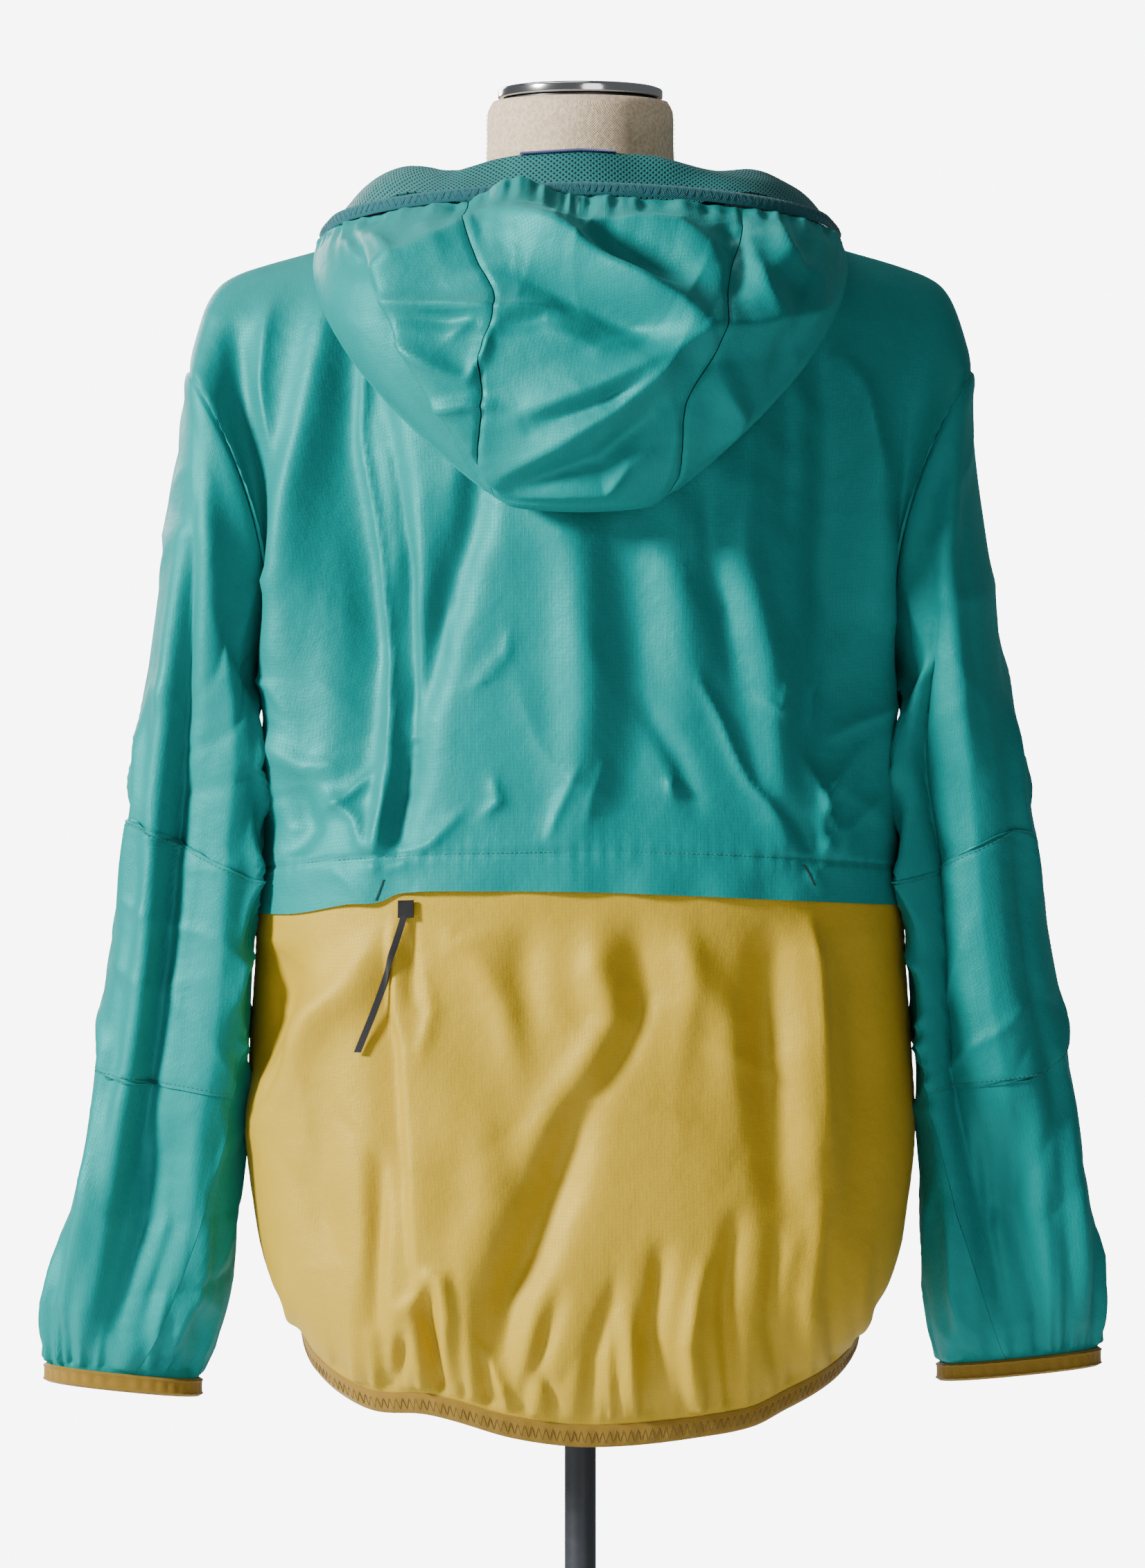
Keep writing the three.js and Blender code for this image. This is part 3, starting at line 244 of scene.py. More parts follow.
# Creases as seen from behind: points (x, z), half width, height (below zero for a trough) and kind,
# which is soft, crisp, tent (two flat flanks) or step. A step stands up on the left of its path's
# direction and sinks on the right of it.
UPPER_BACK_CREASES = [
    ([(-158, 1400), (-168, 1340), (-180, 1280), (-186, 1216), (-187, 1090)], 12, 11, "soft"),
    ([(-140, 1376), (-146, 1310), (-141, 1250), (-134, 1180), (-134, 1100)], 22, -20, "soft"),
    ([(-137, 1368), (-142, 1324), (-135, 1285), (-128, 1240), (-122, 1174), (-119, 1112), (-125, 1048)],
     6, 10, "crisp"),
    ([(-128, 1350), (-113, 1290), (-109, 1236), (-108, 1150)], 7, -5, "soft"),
    ([(-113, 1290), (-104, 1236), (-104, 1130)], 5, 4, "step"),
    ([(-218, 1380), (-214, 1313), (-206, 1240)], 10, -9, "soft"),
    ([(-196, 1400), (-200, 1352), (-194, 1312)], 8, 6, "crisp"),
    ([(-179, 1098), (-171, 1072), (-180, 1054)], 9, -6, "soft"),
    ([(-124, 1140), (-125, 1073), (-128, 1046)], 6, 5, "crisp"),
    ([(-112, 1120), (-113, 1060)], 8, -6, "soft"),
    ([(-158, 1095), (-140, 1078), (-129, 1050)], 5, 4, "crisp"),
    ([(-74, 1082), (-92, 1063), (-118, 1046)], 5, 3, "crisp"),
    ([(-60, 1310), (-68, 1262), (-90, 1190), (-102, 1140), (-106, 1096)], 11, -9, "soft"),
    ([(-44, 1192), (-46, 1180), (-66, 1160)], 4, 2.6, "crisp"),
    ([(-54, 1104), (-51, 1089), (-60, 1080)], 4, 2.8, "crisp"),
    ([(-2, 1110), (-15, 1081), (-20, 1066)], 4, 2.4, "crisp"),
    ([(15, 1114), (7, 1092), (4, 1078)], 4, 1.8, "crisp"),
    ([(55, 1105), (57, 1092)], 3, 2.6, "crisp"),
    ([(39, 1150), (62, 1113), (72, 1086)], 7, -3, "soft"),
    ([(72, 1166), (86, 1140), (95, 1118), (104, 1100), (124, 1078)], 4, 3.4, "crisp"),
    ([(110, 1152), (123, 1145), (133, 1184)], 4, 3, "crisp"),
    ([(-26, 1300), (-2, 1240), (2, 1150), (-4, 1062)], 16, 7, "soft"),
    ([(20, 1300), (32, 1230), (36, 1150), (32, 1090)], 17, -4, "soft"),
    ([(46, 1300), (60, 1220), (70, 1150)], 13, 3.5, "soft"),
    ([(90, 1300), (98, 1250), (116, 1180), (128, 1060)], 12, 6, "soft"),
    ([(78, 1300), (84, 1230), (98, 1160)], 9, -3.5, "soft"),
    ([(126, 1356), (130, 1310), (128, 1260)], 9, -5, "soft"),
    ([(105, 1330), (104, 1260)], 8, 3, "soft"),
    ([(150, 1378), (158, 1300), (156, 1180), (148, 1120)], 17, -11, "soft"),
    ([(160, 1372), (178, 1346), (189, 1300)], 6, 5, "crisp"),
    ([(187, 1300), (190, 1200), (186, 1070)], 11, 7, "soft"),
    ([(140, 1116), (156, 1072), (146, 1044)], 5, 4.5, "crisp"),
    ([(176, 1126), (152, 1092), (147, 1060)], 5, 3.5, "crisp"),
    ([(120, 1092), (140, 1066), (144, 1046)], 7, -4, "soft"),
    ([(-160, 1084), (-146, 1092), (-132, 1108)], 5, 4, "crisp"),
    ([(-196, 1130), (-172, 1110), (-150, 1112)], 7, 4, "soft"),
    ([(-204, 1230), (-176, 1226), (-150, 1206)], 6, 3.5, "crisp"),
    ([(-206, 1176), (-184, 1160), (-176, 1140)], 6, 3.5, "crisp"),
    ([(168, 1190), (150, 1160), (146, 1138)], 5, 3, "crisp"),
    ([(196, 1150), (172, 1138), (158, 1128)], 6, 3, "crisp"),
    ([(164, 1096), (152, 1080), (156, 1062)], 4, -3.5, "crisp"),
    ([(182, 1090), (166, 1072), (160, 1052)], 5, 3, "crisp"),
    ([(-150, 1046), (-134, 1030), (-127, 1024)], 4, 3, "crisp"),
    ([(-112, 1040), (-104, 1034), (-84, 1026)], 4, 3, "crisp"),
    ([(140, 1050), (148, 1034), (146, 1024)], 4, 3, "crisp"),
]
LOWER_BACK_CREASES = [
    ([(-104, 1018), (-106, 996), (-104, 966)], 6, -5, "crisp"),
    ([(-119, 1000), (-118, 958), (-113, 940), (-107, 850), (-104, 800)], 5, 5, "step"),
    ([(-122, 1006), (-144, 974), (-167, 956), (-206, 884)], 13, 8, "soft"),
    ([(-184, 1000), (-194, 956), (-208, 915)], 16, -10, "soft"),
    ([(-206, 890), (-196, 905), (-182, 938)], 6, -4, "crisp"),
    ([(-90, 940), (-86, 890), (-94, 820)], 18, 4, "soft"),
    ([(12, 1018), (10, 985), (20, 955), (2, 925), (-16, 899), (-30, 870)], 12, 6, "soft"),
    ([(-32, 1016), (-36, 985), (-30, 945)], 12, -4, "soft"),
    ([(34, 1016), (40, 970), (26, 935), (6, 905)], 10, -5, "soft"),
    ([(64, 1016), (68, 970), (62, 930)], 10, 3, "soft"),
    ([(-84, 1016), (-80, 1000), (-50, 1008)], 5, 2, "crisp"),
    ([(-98, 985), (-92, 960), (-98, 930)], 6, 3, "crisp"),
    ([(-160, 900), (-166, 850), (-156, 800)], 15, -5, "soft"),
    ([(-126, 870), (-126, 830), (-129, 768)], 6, -6, "soft"),
    ([(-2, 900), (-18, 845), (-44, 785), (-58, 724)], 14, -11, "soft"),
    ([(-64, 900), (-56, 840), (-74, 790)], 16, 4, "soft"),
    ([(-112, 774), (-100, 779), (-94, 794), (-86, 792), (-83, 772), (-85, 730)], 5, 5, "soft"),
    ([(-96, 790), (-97, 770), (-92, 744), (-88, 722)], 5, -7, "soft"),
    ([(-111, 756), (-114, 724)], 4, -6, "soft"),
    ([(-60, 748), (-50, 727), (-42, 710)], 4, 3.5, "crisp"),
    ([(-13, 786), (-26, 746), (-36, 718)], 6, -6, "soft"),
    ([(-24, 738), (-14, 716)], 4, -3, "crisp"),
    ([(22, 790), (8, 748), (4, 712)], 6, -5, "soft"),
    ([(50, 812), (44, 760), (50, 712)], 7, -6, "soft"),
    ([(30, 770), (32, 716)], 5, 3, "soft"),
    ([(76, 806), (66, 756), (70, 714)], 5, 4, "soft"),
    ([(96, 830), (90, 780), (96, 722)], 7, -6, "soft"),
    ([(122, 822), (118, 770), (124, 732)], 6, -5, "soft"),
    ([(148, 838), (142, 780), (146, 744)], 6, 4.5, "soft"),
    ([(140, 1026), (146, 985), (148, 930), (152, 880)], 5, 4, "crisp"),
    ([(143, 1016), (142, 930), (148, 830)], 15, 6, "soft"),
    ([(118, 1010), (116, 930), (128, 836)], 14, -8, "soft"),
    ([(172, 990), (178, 900), (170, 830)], 13, -6, "soft"),
    ([(60, 1010), (92, 950), (98, 900)], 12, 3, "soft"),
    ([(2, 906), (36, 902), (70, 893)], 5, 1.6, "crisp"),
    ([(78, 938), (128, 918)], 6, 1.8, "crisp"),
    ([(-70, 1000), (-46, 960), (-40, 920)], 10, 2.5, "soft"),
]
HOOD_CREASES = [
    ([(-57, 1445), (-35, 1439), (-7, 1428), (18, 1414), (57, 1395), (74, 1382)], 22, 14, "tent"),
    ([(4, 1440), (44, 1422), (70, 1408)], 15, -12, "soft"),
    ([(-34, 1410), (8, 1392), (58, 1366)], 15, -8, "soft"),
    ([(-12, 1441), (16, 1446), (34, 1446), (60, 1443), (78, 1433)], 11, 5, "tent"),
    ([(-122, 1393), (-88, 1392), (-58, 1391), (-45, 1390), (-20, 1393), (-14, 1392)], 5, 4.5, "crisp"),
    ([(-112, 1385), (-60, 1383)], 6, -3, "soft"),
    ([(-50, 1380), (-20, 1384)], 6, -3, "soft"),
    ([(-127, 1410), (-101, 1424), (-64, 1443)], 19, 8, "tent"),
    ([(-140, 1444), (-127, 1415), (-121, 1394), (-108, 1367), (-88, 1331), (-73, 1312), (-50, 1276)],
     6, 6, "step"),
    ([(-147, 1440), (-137, 1424)], 4, 3, "crisp"),
    ([(-128, 1437), (-119, 1428), (-112, 1419)], 4, 3, "crisp"),
    ([(-112, 1371), (-94, 1360), (-68, 1346)], 5, 4.5, "crisp"),
    ([(-68, 1346), (-58, 1365), (-55, 1379)], 4, 3.5, "crisp"),
    ([(-88, 1331), (-67, 1333), (-50, 1330)], 5, 3.5, "crisp"),
    ([(-80, 1372), (-66, 1384)], 5, 2.5, "crisp"),
    ([(-36, 1326), (11, 1344), (45, 1360), (71, 1374), (79, 1378)], 18, 9, "tent"),
    ([(-47, 1292), (-12, 1310), (22, 1330), (48, 1351), (68, 1372)], 15, 7, "tent"),
    ([(-28, 1318), (14, 1334), (44, 1351)], 6, -3.5, "soft"),
    ([(-38, 1284), (10, 1296), (40, 1322)], 7, -4, "soft"),
    ([(-36, 1276), (15, 1279), (29, 1296), (42, 1302)], 5, 4, "crisp"),
    ([(-20, 1378), (10, 1366), (52, 1376)], 6, 2, "crisp"),
    ([(79, 1377), (114, 1383), (144, 1392), (160, 1402)], 17, 6, "tent"),
    ([(91, 1450), (100, 1420), (96, 1396)], 9, -6, "soft"),
    ([(100, 1442), (112, 1410), (118, 1392)], 6, 3.5, "crisp"),
    ([(118, 1448), (127, 1427), (144, 1416)], 10, 5, "tent"),
    ([(142, 1440), (136, 1402), (120, 1350)], 8, -4, "soft"),
    ([(80, 1356), (96, 1326), (88, 1300)], 12, 5, "tent"),
]
# On the front: seen from behind as well, so x keeps its sign.
FRONT_CREASES = [
    ([(60, 1395), (78, 1330), (84, 1240)], 13, -7, "soft"),
    ([(-60, 1395), (-82, 1320), (-92, 1220)], 12, -7, "soft"),
    ([(120, 1400), (150, 1330), (166, 1240), (170, 1120)], 14, 7, "soft"),
    ([(-118, 1400), (-146, 1320), (-164, 1210), (-170, 1110)], 14, 7, "soft"),
    ([(40, 1330), (46, 1200), (36, 1060)], 16, 3.5, "soft"),
    ([(-44, 1320), (-52, 1190), (-40, 1060)], 16, 3.5, "soft"),
    ([(190, 1180), (140, 1140), (110, 1120)], 8, 4, "crisp"),
    ([(-190, 1176), (-150, 1130), (-124, 1112)], 8, 4, "crisp"),
    ([(130, 1110), (122, 1060), (130, 1024)], 10, -6, "soft"),
    ([(-132, 1120), (-120, 1070), (-128, 1024)], 10, -6, "soft"),
    ([(66, 1010), (70, 930), (58, 830)], 15, -7, "soft"),
    ([(-70, 1008), (-62, 920), (-74, 826)], 15, -7, "soft"),
    ([(120, 990), (132, 910), (124, 820)], 15, 7, "soft"),
    ([(-122, 996), (-136, 906), (-126, 824)], 15, 7, "soft"),
    ([(168, 960), (164, 880), (172, 820)], 12, -6, "soft"),
    ([(-170, 966), (-162, 880), (-170, 822)], 12, -6, "soft"),
    ([(36, 900), (84, 884)], 6, 2, "crisp"),
    ([(-100, 944), (-46, 930)], 6, 2, "crisp"),
]
# On a sleeve: (angle in degrees, height above the floor), the same for both sleeves.
SLEEVE_CREASES = [
    ([(70, 1330), (86, 1250), (82, 1120)], 12, 5, "soft"),
    ([(178, 1176), (152, 1163), (128, 1142)], 5, 6, "crisp"),
    ([(128, 1142), (123, 1112), (140, 1086)], 5, 6, "crisp"),
    ([(164, 1152), (146, 1130), (152, 1098)], 6, -6, "soft"),
    ([(172, 1208), (140, 1202)], 4, 3, "crisp"),
    ([(136, 1260), (124, 1225), (120, 1190)], 6, 4, "crisp"),
    ([(158, 1120), (140, 1098), (136, 1070)], 5, 5, "crisp"),
    ([(124, 1080), (128, 1040), (122, 1004)], 4, 5, "crisp"),
    ([(122, 1060), (134, 1030), (150, 1010)], 7, 5, "crisp"),
    ([(146, 1000), (124, 984), (118, 960)], 7, 5, "crisp"),
    ([(124, 940), (140, 926)], 6, 4, "crisp"),
    ([(30, 1150), (44, 1090), (36, 1030)], 10, 5, "soft"),
    ([(8, 1120), (20, 1088)], 7, 4, "crisp"),
    ([(2, 1040), (14, 1010), (10, 980)], 7, -4, "crisp"),
    ([(20, 960), (40, 930), (36, 890)], 9, 4, "soft"),
    ([(56, 1060), (60, 980), (52, 900)], 12, -4, "soft"),
    ([(40, 890), (46, 830), (42, 764)], 10, 8, "soft"),
    ([(80, 890), (88, 830), (82, 756)], 12, -10, "soft"),
    ([(96, 880), (104, 820), (96, 752)], 8, -7, "soft"),
    ([(124, 830), (130, 780), (124, 748)], 7, 5, "soft"),
    ([(10, 820), (18, 780), (14, 745)], 7, 5, "soft"),
    ([(-20, 1000), (-34, 940)], 9, 4, "soft"),
    ([(-60, 1300), (-76, 1200), (-70, 1080)], 14, -7, "soft"),
    ([(-100, 1080), (-74, 1040), (-60, 1010)], 8, 5, "crisp"),
    ([(-110, 1010), (-80, 980), (-60, 968)], 8, 5, "crisp"),
    ([(-80, 940), (-88, 850), (-80, 760)], 12, -7, "soft"),
    ([(-44, 900), (-50, 820), (-44, 750)], 9, 5, "soft"),
    ([(170, 1080), (190, 1040), (210, 1030)], 8, 5, "crisp"),
    ([(176, 960), (196, 930)], 8, 4, "crisp"),
]


def clamp(value, low, high):
    return np.minimum(high, np.maximum(low, value))


def mix(a, b, t):
    return a + (b - a) * t


def ramp(value, low, high):
    t = clamp((value - low) / (high - low), 0, 1)
    return t * t * (3 - 2 * t)


def power(value, exponent):
    return np.sign(value) * np.abs(value) ** exponent


def curve(t, span, start, start_slope, end, end_slope):
    """A smooth curve between two values, with a slope at each; t is 0 to 1 along the span."""
    t2, t3 = t * t, t * t * t
    return (
        (2 * t3 - 3 * t2 + 1) * start
        + (t3 - 2 * t2 + t) * span * start_slope
        + (3 * t2 - 2 * t3) * end
        + (t3 - t2) * span * end_slope
    )


def read(rows, value, key):
    """A column of a table at a value of its first column, on a smooth curve through the rows."""
    known, wanted = next(iter(rows.values())), rows[key]
    value = np.asarray(value, float)
    last = len(known) - 1
    i = clamp(np.searchsorted(known, value, side="left") - 1, 0, last - 1).astype(int)
    places = np.arange(last + 1)
    before, after = np.maximum(places - 1, 0), np.minimum(places + 1, last)
    slope = (wanted[after] - wanted[before]) / (known[after] - known[before])
    span = known[i + 1] - known[i]
    t = clamp((value - known[i]) / span, 0, 1)
    return curve(t, span, wanted[i], slope[i], wanted[i + 1], slope[i + 1])


def point(x, y, z):
    return np.stack(np.broadcast_arrays(x, y, z), -1).astype(float)


def body(u, level, face):
    """The body's outer surface: u from the left side seam to the right one, face -1 behind, 1 in front."""
    side = np.sign(u)
    a = np.minimum(np.abs(u), 1)
    turn = PI / 2 * a**TURN_POWER
    low = np.minimum(level, ARMPIT_LEVEL)
    depth = read(BODY, low, "back" if face < 0 else "front")
    rise = read(BODY, low, "rise") * (1 - a * a) if face < 0 else 0
    x = side * read(BODY, low, "half") * np.sin(turn) ** SECTION
    y = face * depth * np.maximum(np.cos(turn), 0) ** SECTION
    z = low + rise
    v = clamp((level - ARMPIT_LEVEL) / SHOULDER_SPAN, 0, 1)
    climb = PI / 2 * (v - 0.7 * np.sin(2 * PI * v) / (2 * PI))
    top = BACK_TOP if face < 0 else FRONT_TOP
    s = np.sin(climb) ** ROUND
    shoulder = np.maximum(np.cos(climb), 0) ** ROUND
    steep = clamp(1 - a / NECK_POINT, 0, 1) if face > 0 else 0
    inwards = mix(shoulder, 1 - s * s, steep)
    bow = ARMHOLE_DEPTH * np.sin(PI * v) * a**8
    across = s ** (1 + 1.2 * a * a)
    return point(
        mix(x, side * read(top, a, "x"), across) - side * 6 * np.sin(PI * s) * a**4,
        mix(read(top, a, "y"), y, inwards) + face * bow,
        mix(z, read(top, a, "z"), s),
    )


def front(side, a, level):
    """A front panel's outer surface: a runs from the zip to the side seam."""
    p = body(np.abs(a), level, 1)
    shift = (ZIP_HALF_WIDTH + SEAM_GAP) * clamp(1 - np.abs(a) / NECK_POINT, 0, 1)
    return point(side * (p[..., 0] + shift), p[..., 1], p[..., 2])


def sleeve_ring(side, angle, ring):
    if ring == 0:
        turned = np.where(angle <= 180, 1 - angle / 180, (angle - 180) / 180)
        level = ARMPIT_LEVEL + SHOULDER_SPAN * turned
        behind, before = body(side + 0 * angle, level, -1), body(side + 0 * angle, level, 1)
        return np.where((angle <= 180)[..., None], behind, before)
    row = {key: column[ring - 1] for key, column in SLEEVE.items()}
    out = power(np.cos(np.radians(angle)), 0.86)
    aside = power(np.sin(np.radians(angle)), 0.86)
    raised = CUFF_RAISE[side] * clamp((ring - RAISE_FROM_RING) / 4, 0, 1)
    out_x = row["outX"] + (row["rightOut"] if side > 0 else 0)
    in_x = row["inX"] + (row["rightIn"] if side > 0 else 0)
    lean = read(LEAN, ring, "by") * np.maximum(aside, 0) * clamp(0.5 - out, 0, 1)
    return point(
        side * ((out_x + in_x) / 2 + (out_x - in_x) / 2 * out - lean),
        -aside * np.where(aside > 0, row["back"], row["front"]),
        (row["outZ"] + row["inZ"]) / 2 + (row["outZ"] - row["inZ"]) / 2 * out + raised,
    )


def sleeve(side, angle, ring):
    """A sleeve's outer surface: angle 0 on the outer side, 90 behind, 180 inside."""
    angle, ring = np.broadcast_arrays(np.asarray(angle, float), np.asarray(ring, float))
    turned = np.mod(angle, 360)
    rings = np.stack([sleeve_ring(side, turned, k) for k in range(LAST_RING + 1)])
    i = clamp(np.floor(ring), 0, LAST_RING - 1).astype(int)
    t = (ring - i)[..., None]

    def at(k):
        return np.take_along_axis(rings, clamp(k, 0, LAST_RING)[None, ..., None], 0)[0]

    a, b, c, d = at(i - 1), at(i), at(i + 1), at(i + 2)
    return 0.5 * (2 * b + (c - a) * t + (2 * a - 5 * b + 4 * c - d) * t**2 + (3 * b - a - 3 * c + d) * t**3)


def hood(q, row):
    """The hood's outer surface: |q| up to 1 is the side that is seen, more is the hidden one."""
    t = clamp(row, 0, LAST_HOOD_ROW)
    seen = np.abs(q) <= 1
    across = np.where(seen, q, np.sign(q) * (2 - np.abs(q)))
    turn = PI / 2 * np.abs(across) ** 1.3
    middle = np.where(seen, read(HOOD, t, "backY"), read(HOOD, t, "frontY"))
    bulge = np.maximum(np.cos(turn), 0) ** np.where(seen, 0.9, 0.75)
    return point(
        np.sign(q) * read(HOOD, t, "half") * np.sin(turn) ** 0.9,
        mix(read(HOOD, t, "edgeY"), middle, bulge),
        mix(read(HOOD, t, "midZ"), read(HOOD, t, "edgeZ"), across**2),
    )


def collar(turn, w):
    """The lining's roll round the neck: w is 0 at the neck seam, 1 at the crest and 3 at the free edge."""
    a = np.abs(turn)
    i = clamp(np.floor(w), 0, 2).astype(int)
    t = clamp(w - i, 0, 1)

    def along(letter):
        columns = [read(COLLAR, a, name + letter) for name in ("seam", "crest", "past", "edge")]
        known = np.broadcast_to(np.stack(columns), (4,) + np.broadcast(a, i).shape)
        slopes = np.stack(
            [known[1] - known[0], (known[2] - known[0]) / 2, (known[3] - known[1]) / 2, known[3] - known[2]]
        )

        def pick(values, k):
            return np.take_along_axis(values, np.broadcast_to(k, known.shape[1:])[None], 0)[0]

        return curve(t, 1, pick(known, i), pick(slopes, i), pick(known, i + 1), pick(slopes, i + 1))

    radius, angle = along("R"), np.radians(turn)
    return point(radius * np.sin(angle), -radius * np.cos(angle), along("Z"))


def opening(s):
    """The path of the hood's face opening, from the centre front round the back and to the front."""
    s = np.asarray(s, float)
    a, side = np.abs(s), np.where(s < 0, -1.0, 1.0)
    behind = hood(side * clamp(a, 0, 1), 0 * s)
    before = collar(side * mix(84, COLLAR_END, clamp(a - 1, 0, 1)), 3 + 0 * s)
    joined = clamp((a - 1) / 0.25, 0, 1)[..., None]
    path = mix(behind, before, joined * joined * (3 - 2 * joined))
    away = path * (1, 1, 0)
    away /= np.linalg.norm(away, axis=-1, keepdims=True)
    return path + away * 5 * np.sin(PI * joined)


def noise(x, y, seed):
    """Smooth noise from 0 to 1, with one bump for each unit of x and y."""
    values = np.random.default_rng(seed).random((64, 64))
    i, j = np.floor(x).astype(int), np.floor(y).astype(int)
    s, t = x - i, y - j
    s, t = s * s * (3 - 2 * s), t * t * (3 - 2 * t)

    def at(a, b):
        return values[np.mod(a, 64), np.mod(b, 64)]

    return mix(mix(at(i, j), at(i + 1, j), s), mix(at(i, j + 1), at(i + 1, j + 1), s), t)


def creases(rows, x, z):
    """The height of the listed creases at a place."""
    total = np.zeros(np.broadcast(x, z).shape)
    for path, width, height, kind in rows:
        path = np.array(path, float)
        lengths = np.linalg.norm(np.diff(path, axis=0), axis=1)
        off, along, side = np.full(total.shape, FAR), np.zeros(total.shape), np.zeros(total.shape)
        done = 0
        for (x1, z1), (x2, z2), length in zip(path[:-1], path[1:], lengths):
            dx, dz = (x2 - x1) / length, (z2 - z1) / length
            t = clamp((x - x1) * dx + (z - z1) * dz, 0, length)
            away = np.hypot(x - x1 - t * dx, z - z1 - t * dz)
            nearer = away < off
            off = np.where(nearer, away, off)
            along = np.where(nearer, done + t, along)
            side = np.where(nearer, np.sign((x - x1) * -dz + (z - z1) * dx), side)
            done += length
        share = along / lengths.sum()
        ends = np.sin(PI * clamp(0.04 + 0.92 * share, 0, 1)) ** 0.55
        varied = 0.8 + 0.4 * noise(along / 37 + height, along * 0 + width, 11)
        if kind == "soft":
            profile = np.exp(-((off / width) ** 2))
        elif kind == "crisp":
            profile = np.exp(-(np.sqrt(off**2 + 1.2) - 1.1) / (0.75 * width))
        elif kind == "tent":
            profile = clamp(1 - (np.sqrt(off**2 + 1.2) - 1.1) / (1.25 * width), 0, 1) ** 1.6
        else:
            profile = side * np.tanh(off / 1.6) * np.exp(-((off / (3.2 * width)) ** 2))
        total += height * profile * ends * varied
    return total


def crumple(x, z, seed, size=46, count=5):
    """Short crisp creases in random directions, in patches."""
    rng = np.random.default_rng(seed)
    total = np.zeros(np.broadcast(x, z).shape)
    for k in range(count):
        angle, wave, shift = rng.uniform(0, PI), size * rng.uniform(0.7, 1.6), rng.uniform(0, 50)
        sway = noise(x / (2.2 * size) + shift, z / (2.2 * size), seed + 10 * k) * 1.6
        t = (x * math.cos(angle) + z * math.sin(angle)) / wave + sway
        near = np.abs(np.mod(t, 1) - 0.5) * wave
        patch = ramp(noise(x / (1.5 * size) + shift, z / (1.9 * size) - shift, seed + 7 * k + 3), 0.55, 0.95)
        total += (1 if k % 2 else -0.8) * np.exp(-np.sqrt(near**2 + 1) / 6.5) * patch
    soft = noise(x / (1.6 * size), z / (2.4 * size), seed + 99) - 0.5
    return total + soft


def pucker(along, away, seed, pitch, reach):
    """Little ripples square to a seam, dying out away from it, and the seam's own groove."""
    wobble = noise(along / 23, along * 0 + seed, seed)
    strength = 0.35 + 0.9 * noise(along / 41, along * 0, seed + 5)
    ripple = np.sin(2 * PI * (along / pitch + 1.4 * wobble)) * strength
    return 0.5 * ripple * np.exp(-away / reach * 1.9) - 1.5 * np.exp(-((away / 1.7) ** 2))


def unit(a):
    return a / np.maximum(np.linalg.norm(a, axis=-1, keepdims=True), 1e-9)


class Cloth:
    """A surface(u, v) in millimetres, with relief(u, v, points) along its normal and perhaps a shift.

    reach is how far along u and v the surface is read on both sides of a place to find its slope.
    """

    def __init__(self, surface, facing, reach, relief, shift=None):
        self.surface, self.facing, self.reach = surface, facing, reach
        self.relief, self.shift = relief, shift

    def normal(self, u, v):
        reach_u, reach_v = self.reach
        across = self.surface(u + reach_u, v) - self.surface(u - reach_u, v)
        up = self.surface(u, v + reach_v) - self.surface(u, v - reach_v)
        return unit(np.cross(across, up)) * self.facing

    def at(self, u, v, height=0.0):
        u, v = np.broadcast_arrays(np.asarray(u, float), np.asarray(v, float))
        base = self.surface(u, v)
        out = height + self.relief(u, v, base)
        placed = base + self.normal(u, v) * out[..., None]
        return placed + (self.shift(u, v, base) if self.shift else 0)


def new_object(name, vertices, faces, smooth=True, uv=None):
    mesh = bpy.data.meshes.new(name)
    faces = faces if isinstance(faces, list) else faces.tolist()
    mesh.from_pydata((np.asarray(vertices) * MM).tolist(), [], faces)
    mesh.update()
    if smooth:
        mesh.polygons.foreach_set("use_smooth", np.ones(len(mesh.polygons), bool))
    if uv is not None:
        layer = mesh.uv_layers.new(name="cloth")
        corners = np.empty(len(mesh.loops), np.int32)
        mesh.loops.foreach_get("vertex_index", corners)
        layer.data.foreach_set("uv", (np.asarray(uv) * MM)[corners].astype(np.float32).ravel())
    piece = bpy.data.objects.new(name, mesh)
    bpy.context.scene.collection.objects.link(piece)
    return piece


def grid_normals(points, facing):
    across, up = np.gradient(points, axis=1), np.gradient(points, axis=0)
    return unit(np.cross(across, up)) * facing


def grid_faces(ids):
    """The squares between the points of a grid, given their numbers."""
    corners = ids[:-1, :-1], ids[:-1, 1:], ids[1:, 1:], ids[1:, :-1]
    return np.stack([corner.ravel() for corner in corners], 1)


def length_along(points, axis=0):
    """How far each point is from the first one, along its path or along its row or column of a grid."""
    moved = np.linalg.norm(np.diff(points, axis=axis), axis=-1)
    start = np.zeros_like(moved.take([0], axis))
    return np.concatenate([start, np.cumsum(moved, axis)], axis)


